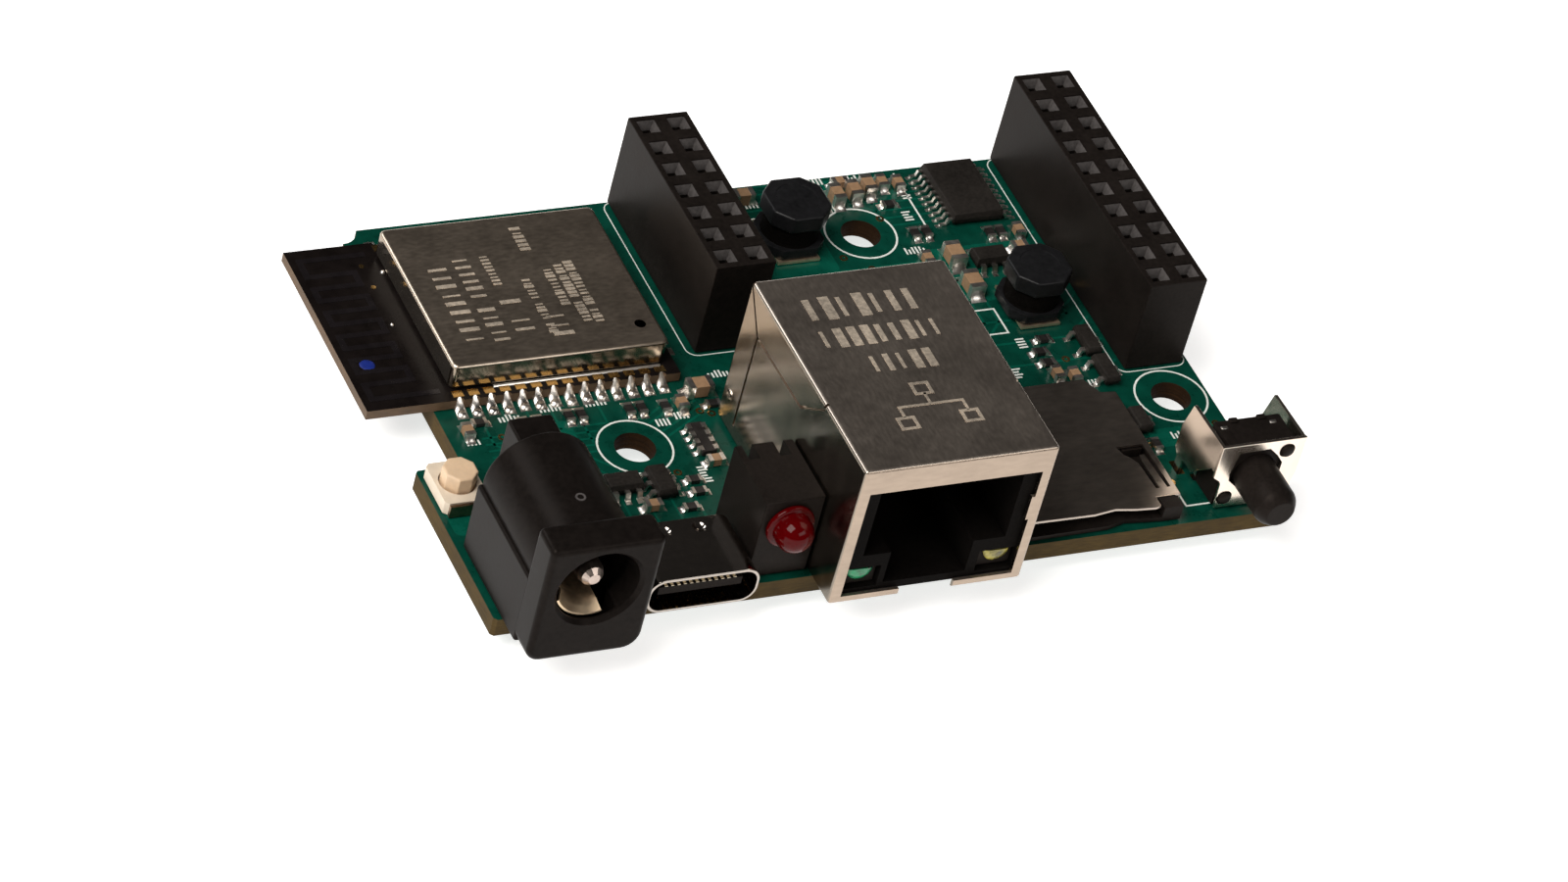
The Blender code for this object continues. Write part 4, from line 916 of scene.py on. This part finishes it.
card_low, card_high = box_mm("card_cover")
cx0, cx1, cy1, ctop = card_low.x, card_high.x, card_high.y, card_high.z
cover_outline = [
    (cx0, 0.78), (44.4, 0.83), (49.0, 0.76), (50.9, 1.02), (52.6, 0.74), (54.2, 0.62), (54.7, 0.72),
    (54.7, 1.7), (cx1, 1.7), (cx1, 13.35), (55.5, 13.5), (54.8, cy1), (cx0, cy1),
]
cover = prism(new(), cover_outline, LIFT, ctop)
under_cover = box(new(), cx0 + 0.2, cx1 - 0.2, -2.0, 13.2, -1.0, ctop - 0.2)
latch = prism(new(), [
    (53.95, 7.4), (54.2, 6.5), (54.6, 6.1), (54.95, 5.4), (55.1, 2.6), (55.4, 2.6), (55.32, 5.6),
    (55.45, 6.3), (55.85, 6.3), (56.05, 2.6), (56.35, 2.6), (56.2, 7.4),
], 1.0, 3.0)
piece("card_cover_metal", [solid(cover, 0.1, (under_cover, latch))], COVER, replaces="card_cover")

# ---- side push button

bracket_low, bracket_high = box_mm("side_button_bracket")
plunger_low, plunger_high = box_mm("side_button_plunger")
body_low, body_high = box_mm("side_button_body")
SX, SZ = 0.5 * (plunger_low.x + plunger_high.x), 0.5 * (plunger_low.z + plunger_high.z)
bx0, bx1, by0 = bracket_low.x, bracket_high.x, bracket_low.y
plate = prism(new(), [
    (bx0 + 0.9, LIFT), (bx1 - 0.2, LIFT), (bx1 - 0.2, 2.1), (bx1, 2.8), (bx1, 6.4), (bx0, 6.4),
    (bx0, 3.35), (bx0 + 0.6, 2.9), (bx0 + 0.75, 2.6),
], by0, by0 + 0.3, "Y")
window = prism(new(), [
    (SX - 2.35, 3.6), (SX - 1.95, 5.6), (SX + 0.6, 5.7), (SX + 1.45, 4.9), (SX + 2.05, 4.1),
    (SX + 2.05, 2.2), (SX + 0.9, 1.1), (SX - 0.6, 1.1), (SX - 1.5, 2.2), (SX - 2.25, 2.9),
], by0 - PAST, by0 + PAST, "Y")
rivet_holes = new()
rivets = new()
for s in (-1, 1):
    centre = (SX + s * 2.15, SZ + (2.2 if s > 0 else -1.95))
    prism(rivet_holes, circle(*centre, 0.66, 24), by0 - 1.0, by0 + 1.5, "Y")
    rivet = ((0.4, by0 - 0.24), (0.52, by0 - 0.16), (0.55, by0), (0.55, by0 + 1.0))
    turned(rivets, rivet, centre, "Y", 24)
wing = [
    (by0 + 0.1, 6.36), (6.1, 6.2), (6.8, 3.6), (6.8, 1.4), (6.3, 1.0), (6.3, PIN_END),
    (5.5, PIN_END), (5.5, 1.2), (4.0, 1.3), (1.7, 3.7), (by0 + 0.1, 3.7),
]
wings = new()
prism(wings, wing, bx0 + 0.03, bx0 + 0.33, "X")
prism(wings, wing, bx1 - 0.33, bx1 - 0.03, "X")
piece("bracket_metal", [
    solid(plate, 0.07, (window, rivet_holes)), solid(wings, 0.06),
], NICKEL, replaces="side_button_bracket")

moulding = box(new(), body_low.x, body_high.x, by0 + 0.4, body_high.y, body_low.z, body_high.z)
throat = turned(new(), ((1.8, 0.0), (1.8, 1.9), (2.3, 1.9), (2.3, 3.95)), (SX, SZ), "Y", 40)
back, top = body_high.y, body_high.z
bumps, pin_tops = new(), new()
for x in (SX - 1.3, SX + 1.1):
    box(bumps, x - 0.35, x + 0.35, back - 0.5, back - 0.02, top - 0.3, top + 0.22)
for x in (SX - 2.3, SX + 1.9):
    box(pin_tops, x - 0.28, x + 0.28, back - 0.95, back - 0.65, top - 0.1, top + 0.03)
piece("button_pins", [solid(pin_tops, 0.02, segments=1)], TIN)
piece("button_block", [
    solid(moulding, 0.12, (throat,)), solid(rivets), solid(bumps, 0.05, segments=1),
], BLACK, replaces="side_button_body")

tip = plunger_low.y
stem = [(1.05, tip), (1.16, tip + 0.05), (1.28, tip + 0.16), (1.52, tip + 0.5), (1.66, tip + 0.76),
        (1.73, tip + 1.05), (1.75, 1.3), (1.75, 2.0), (2.15, 2.0), (2.15, 2.7), (0.9, 2.7),
        (0.9, plunger_high.y)]
piece("button_stem", [solid(turned(new(), stem, (SX, SZ), "Y", 48))], BLACK, "side_plunger",
      "side_button_plunger")

# ---- top push button

cap_low, cap_high = box_mm("top_button_plunger")
TX, TY = 0.5 * (cap_low.x + cap_high.x), 0.5 * (cap_low.y + cap_high.y)
cap = [(1.52, cap_low.z), (1.52, cap_low.z + 0.2), (1.36, cap_low.z + 0.2), (1.36, cap_high.z - 0.12),
       (1.28, cap_high.z - 0.03), (1.1, cap_high.z)]
piece("top_button_cap", [solid(turned(new(), cap, (TX, TY), "Z", 8, math.pi / 8), 0.05)], CREAM,
      "top_plunger", "top_button_plunger", sharp=30.0)

# ---- socket strips

for label, places, (low, high) in (
    ("strip_short", SHORT_PLACES, (SHORT_LOW, SHORT_HIGH)),
    ("strip_long", LONG_PLACES, (LONG_LOW, LONG_HIGH)),
):
    block = box(new(), low.x, high.x, low.y, high.y, low.z, high.z)
    sockets = new()
    for x, y in places:
        frustum(sockets, x, y, (
            (0.45, 1.3), (0.45, high.z - 0.85), (0.78, high.z - 0.12), (0.8, high.z + 0.5),
        ))
    slots = new()
    mid_y = 0.5 * (low.y + high.y)
    reach = 0.5 * (high.y - low.y) - 0.6
    for side in (-1, 1):
        x = 0.5 * (low.x + high.x) + side * HALF_PITCH
        box(slots, x - 0.41, x + 0.41, mid_y - reach, mid_y + reach, -1.0, 1.9)
    moulding = piece(label + "_moulding", [solid(block, 0.12, (sockets, slots))], [BLACK, GREY_PAINTED_HIGHLIGHT],
                     replaces=label + "_housing")
    # Lead-in slopes that face upwards take the grey: painted highlight on the black moulding.
    for face in moulding.data.polygons:
        height = (face.center.z - ORIGIN.z) / MM
        if 0.1 < face.normal.z < 0.7 and high.z - 0.87 < height < high.z - 0.1 and face.area > 1e-8:
            face.material_index = 1

# ---- chokes

BASE_CORNER = 1.05
LID_CORNER = 1.25
LID = 1.5
for label in ("choke_rear", "choke_right"):
    low, high = box_mm(label + "_core")
    eight = chamfered(low.x, high.x, low.y, high.y, BASE_CORNER)
    mid = (0.5 * (low.x + high.x), 0.5 * (low.y + high.y))
    ring = 0.5 * min(high.x - low.x, high.y - low.y)
    inner = ring - 0.7
    base = prism(new(), eight, low.z, 1.3)
    lid_outline = chamfered(low.x, high.x, low.y, high.y, LID_CORNER)
    lid = prism(new(), lid_outline, high.z - LID, high.z)
    neck = ring - 0.16
    waist_profile = [(ring - 0.1, 1.0), (neck, 1.5)]
    waist_profile += [(neck + 0.02 * math.cos(2.6 * k), 1.5 + 0.12 * k) for k in range(1, 9)]
    waist_profile += [(ring - 0.12, high.z - 1.3)]
    waist = turned(new(), waist_profile, mid, "Z", 40)
    hollows = [
        turned(new(), ((inner, -PAST), (inner, top)), mid, "Z", 32)
        for top in (2.0, high.z + 0.5, high.z - 0.5)
    ]
    dish = turned(new(), ((ring - 0.75, high.z - 0.06), (ring - 0.55, high.z + 0.3)), mid, "Z", 40)
    # The waist under the lid takes the darkened black instead of the ferrite: painted shade.
    piece(label + "_shell", [
        solid(base, 0.12, hollows[:1]), solid(waist, 0.0, hollows[1:2], slot=1),
        solid(lid, 0.2, (hollows[2], dish), 3),
    ], [FERRITE, BLACK_PAINTED_SHADE], replaces=label + "_core")

# ---- chips with leads


def chip(node, cx, cy, body_x, body_y, height, rows, pitch, along, reach, lead):
    """Moulded body, slightly tapered, with gull-wing leads on two sides."""
    mould = new()
    z_mid = 0.5 * (height + 0.2)
    rings = []
    for z, inset in ((0.22, 0.1), (z_mid - 0.06, 0.0), (z_mid + 0.06, 0.0), (height, 0.12)):
        hx, hy = 0.5 * body_x - inset, 0.5 * body_y - inset
        rings.append([
            (cx - hx, cy - hy, z), (cx + hx, cy - hy, z), (cx + hx, cy + hy, z), (cx - hx, cy + hy, z),
        ])
    loft(mould, rings)
    leads, joints = new(), new()
    across, middle = (cx, cy) if along == "Y" else (cy, cx)
    half_width = 0.5 * (body_x if along == "Y" else body_y)
    for side, count in zip((-1, 1), rows):
        for k in range(count):
            spread = 2.0 if count == 2 else 1.0
            row = middle + pitch * (k - 0.5 * (count - 1)) * spread
            edge = side * half_width
            foot = side * reach
            profile = [
                (edge - side * 0.2, 0.5), (edge + side * 0.2, 0.5), (edge + side * 0.38, 0.08),
                (foot, 0.05), (foot, 0.2), (edge + side * 0.5, 0.24), (edge + side * 0.34, 0.68),
                (edge - side * 0.2, 0.68),
            ]
            prism(leads, [(across + a, b) for a, b in profile], row - lead, row + lead, along)
            toe = across + foot - side * 0.25
            spot = (toe, row, side, 0) if along == "Y" else (row, toe, 0, side)
            fillet(joints, *spot, 0.55, 2.5 * lead, 0.14)
    piece(node + "_device", [
        solid(mould, 0.06), solid(leads, slot=1), solid(joints, slot=1),
    ], [CHIP, TIN], replaces=node if node in NODES else None)


chip("serial_chip", 55.15, 38.25, 4.4, 6.5, 1.2, (10, 10), 0.65, "Y", 3.2, 0.125)
SMALL_PITCH = 0.95
SMALL_LEAD = 0.2
for small_chip in (
    ("power_switch_chip", 14.7, 11.35, 2.9, 1.6, 1.15, (3, 3), "X", 1.4),
    ("charger_chip", 17.65, 11.0, 1.6, 2.9, 1.15, (3, 3), "Y", 1.4),
    ("regulator_chip", 54.1, 30.6, 2.9, 1.6, 1.15, (3, 2), "X", 1.4),
    ("transistor_rear", 57.75, 20.1, 1.3, 2.9, 1.1, (2, 1), "Y", 1.2),
    ("transistor_front", 57.75, 16.7, 1.3, 2.9, 1.1, (2, 1), "Y", 1.2),
    ("side_transistor", 57.95, 10.9, 1.3, 2.4, 1.05, (2, 1), "Y", 1.1),
):
    *shape, along, reach = small_chip
    chip(*shape, SMALL_PITCH, along, reach, SMALL_LEAD)

# ---- two-ended parts

EASE = 0.02  # the body is this much smaller than its end caps
CAP_LIFT = 0.4 * LIFT
SMALL_CERAMIC = (1.35, 0.78, 0.75)
LARGE_CERAMIC = (1.75, 0.95, 1.15)
RESISTOR_SIZE = (1.2, 0.68, 0.42)
ceramic_bodies, ceramic_ends = new(), new()
resistor_bodies, resistor_tops = new(), new()


def two_ended(bodies, ends, x, y, length, width, height, along, wrap=0.26):
    """Small part with metal end caps and a solder fillet at each end."""
    inner = 0.5 * length - wrap * length
    hw, hl = 0.5 * width, 0.5 * length

    def block(bm, a0, a1, inset, z0, z1):
        """Box from limits along the part, drawn in at its sides."""
        if along == "X":
            box(bm, x + a0, x + a1, y - hw + inset, y + hw - inset, z0, z1)
        else:
            box(bm, x - hw + inset, x + hw - inset, y + a0, y + a1, z0, z1)

    block(bodies, -inner - EASE, inner + EASE, EASE, LIFT, height - EASE)
    for s in (-1, 1):
        block(ends, *sorted((s * inner, s * hl)), 0.0, CAP_LIFT, height)
        spot = (x + s * hl, y, s, 0) if along == "X" else (x, y + s * hl, 0, s)
        fillet(ends, *spot, 0.34 * length ** 0.5, width * 1.05, 0.7 * height)


CAPACITORS = (
    (58.0, 33.4, "Y"), (57.2, 31.6, "X"), (49.1, 31.4, "Y"), (45.7, 41.1, "X"),
    (49.2, 40.6, "Y"), (50.5, 40.3, "Y"), (42.9, 38.6, "X"), (53.8, 17.1, "Y"),
    (55.1, 16.7, "Y"), (22.8, 19.1, "Y"), (22.9, 12.7, "X"), (5.3, 19.0, "Y"), (16.2, 8.9, "X"),
    (42.9, 20.2, "Y"), (39.4, 21.0, "X"), (47.4, 24.4, "Y"),
)
for x, y, along in CAPACITORS:
    two_ended(ceramic_bodies, ceramic_ends, x, y, *SMALL_CERAMIC, along)
for x, y, along in ((44.7, 39.5, "Y"), (46.3, 39.7, "Y"), (47.7, 40.1, "Y"), (37.0, 40.5, "X")):
    two_ended(ceramic_bodies, ceramic_ends, x, y, *LARGE_CERAMIC, along, 0.24)
RESISTORS = (
    (21.5, 19.15, "Y"), (25.3, 18.8, "X"), (19.1, 8.4, "X"), (54.5, 21.2, "X"), (53.6, 19.85, "X"),
    (53.7, 18.6, "X"), (55.65, 33.7, "Y"), (56.6, 33.7, "Y"), (20.5, 11.15, "X"), (20.4, 9.9, "X"),
    (6.6, 19.9, "X"), (19.6, 19.3, "Y"), (18.6, 19.3, "Y"), (14.7, 19.4, "Y"), (13.7, 19.4, "Y"),
    (48.8, 38.2, "X"), (49.5, 34.6, "Y"), (50.5, 34.6, "Y"), (41.9, 29.4, "X"), (47.2, 28.2, "Y"),
    (11.2, 19.2, "Y"), (10.0, 19.2, "Y"), (58.3, 8.4, "Y"),
)
for x, y, along in RESISTORS:
    two_ended(resistor_bodies, resistor_tops, x, y, *RESISTOR_SIZE, along, 0.2)
piece("ceramic_chips", [solid(ceramic_bodies), solid(ceramic_ends, slot=1)], [CERAMIC, TIN])
piece("resistor_chips", [solid(resistor_bodies), solid(resistor_tops, slot=1)], [RESISTOR, TIN])

for node in ("capacitor_input", "capacitor_output"):
    low, high = box_mm(node)
    bodies, ends = new(), new()
    two_ended(bodies, ends, 0.5 * (low.x + high.x), 0.5 * (low.y + high.y), high.y - low.y,
              high.x - low.x, high.z, "Y", 0.22)
    piece(node + "_chip", [solid(bodies, 0.06), solid(ends, slot=1)], [CERAMIC, TIN],
          replaces=node)
bodies, ends = new(), new()
two_ended(bodies, ends, 24.7, 20.3, 2.0, 1.25, 1.2, "X", 0.22)
piece("module_capacitor", [solid(bodies, 0.06), solid(ends, slot=1)], [CERAMIC, TIN])

low, high = box_mm("resistor_pack")
pack, pack_ends = new(), new()
box(pack, low.x + 0.2, high.x - 0.2, low.y, high.y, low.z, high.z)
for k in range(4):
    y = low.y + (high.y - low.y) * (k + 0.5) / 4
    for s, x in ((-1, low.x), (1, high.x)):
        box(pack_ends, *sorted((x, x - s * 0.4)), y - 0.24, y + 0.24, 0.04, high.z + 0.01)
        fillet(pack_ends, x, y, s, 0, 0.4, 0.5, 0.4)
piece("resistor_pack_chip", [solid(pack, 0.05), solid(pack_ends, slot=1)], [RESISTOR, TIN],
      replaces="resistor_pack")

# ---- generic etched rows

for x, y, count, height, gaps in (
    (8.6, 25.6, 9, 1.25, ()), (10.6, 25.2, 12, 1.05, (5,)), (12.9, 26.0, 4, 1.3, (2,)),
    (12.3, 31.2, 9, 0.5, ()),
    (14.6, 25.4, 16, 0.5, (3, 9)), (15.7, 25.0, 3, 1.3, ()), (16.7, 28.2, 11, 0.5, ()),
    (17.7, 26.2, 17, 0.5, (6,)), (18.6, 26.0, 18, 0.5, (4,)), (16.0, 34.6, 6, 0.6, ()),
):
    etched_row(x, y, count, height, can_high.z, True, 0.09 + 0.06 * height, gaps)
for x, y, count, height, gaps in (
    (28.0, 13.2, 7, 1.75, ()), (27.9, 10.1, 9, 1.45, ()), (30.6, 7.0, 5, 1.4, ()),
):
    etched_row(x, y, count, height, NTOP, False, 0.2 * height, gaps)
for x, y in ((33.2, 4.6), (30.6, 1.2), (35.8, 1.2)):
    frame_mark = (
        (x - 0.65, y - 0.55), (x + 0.65, y - 0.55), (x + 0.65, y + 0.55), (x - 0.65, y + 0.55),
    )
    etch(frame_mark + frame_mark[:1], 0.26, NTOP)
for path in (((33.2, 4.0), (33.2, 2.9)), ((30.6, 1.9), (30.6, 2.9), (35.8, 2.9), (35.8, 1.9))):
    etch(path, 0.22, NTOP)
piece("etched_marks", [solid(etched)], ETCH)

# ---- setting

FLOOR_Z = cad_low.z
FLOOR_HALF = 3.0
floor_mesh = bpy.data.meshes.new("floor")
floor_mesh.from_pydata([
    (-FLOOR_HALF, -FLOOR_HALF, FLOOR_Z), (FLOOR_HALF, -FLOOR_HALF, FLOOR_Z),
    (FLOOR_HALF, FLOOR_HALF, FLOOR_Z), (-FLOOR_HALF, FLOOR_HALF, FLOOR_Z),
], [], [(0, 1, 2, 3)])
floor = linked("floor", floor_mesh)
floor_mesh.materials.append(surface(
    "pale_floor", (0.8, 0.8, 0.8), 0.8, grain=60.0, mottle=0.01, bump=0.02, patches=3.0,
    Emission_Color=(1.0, 0.99, 0.98, 1.0), Emission_Strength=0.72,
))
floor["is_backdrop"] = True


def soft_light(name, location, size, power, color):
    data = bpy.data.lights.new(name, "AREA")
    data.shape = "RECTANGLE"
    data.size, data.size_y = size
    data.energy = power
    data.color = color
    light = linked(name, data)
    light.location = location
    light.rotation_mode = "QUATERNION"
    light.rotation_quaternion = (-Vector(location)).to_track_quat("-Z", "Y")


soft_light("key", (-0.55, -0.15, 0.75), (0.6, 0.6), 10.5, (1.0, 0.97, 0.93))
soft_light("front", (0.35, -0.75, 0.55), (0.7, 0.3), 2.2, (1.0, 0.98, 0.95))
soft_light("rear", (-0.5, 0.75, 0.6), (0.5, 0.3), 2.5, (0.97, 0.98, 1.0))
world = bpy.data.worlds.new("studio")
world.use_nodes = True
world.node_tree.nodes["Background"].inputs["Color"].default_value = (0.95, 0.9, 0.86, 1.0)
world.node_tree.nodes["Background"].inputs["Strength"].default_value = 0.03
bpy.context.scene.world = world
bpy.context.scene.view_settings.view_transform = "Standard"

# ---- camera

VIEW_PLACE = (-191.511, -314.813, 332.863)
VIEW_AIM = (27.018, 9.828, 4.0)
ROLL = math.radians(15.94)
camera_data = bpy.data.cameras.new("camera")
camera_data.sensor_width = 36.0
camera_data.lens = 158.92
camera_data.shift_x = -0.0043
camera_data.shift_y = 0.0016
camera_data.clip_start = 0.05
camera_data.clip_end = 20.0
camera = linked("camera", camera_data)
camera.location = at(*VIEW_PLACE)
camera.rotation_mode = "QUATERNION"
gaze = (at(*VIEW_AIM) - at(*VIEW_PLACE)).to_track_quat("-Z", "Y")
camera.rotation_quaternion = gaze @ Matrix.Rotation(ROLL, 3, "Z").to_quaternion()
bpy.context.scene.camera = camera

low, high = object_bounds()
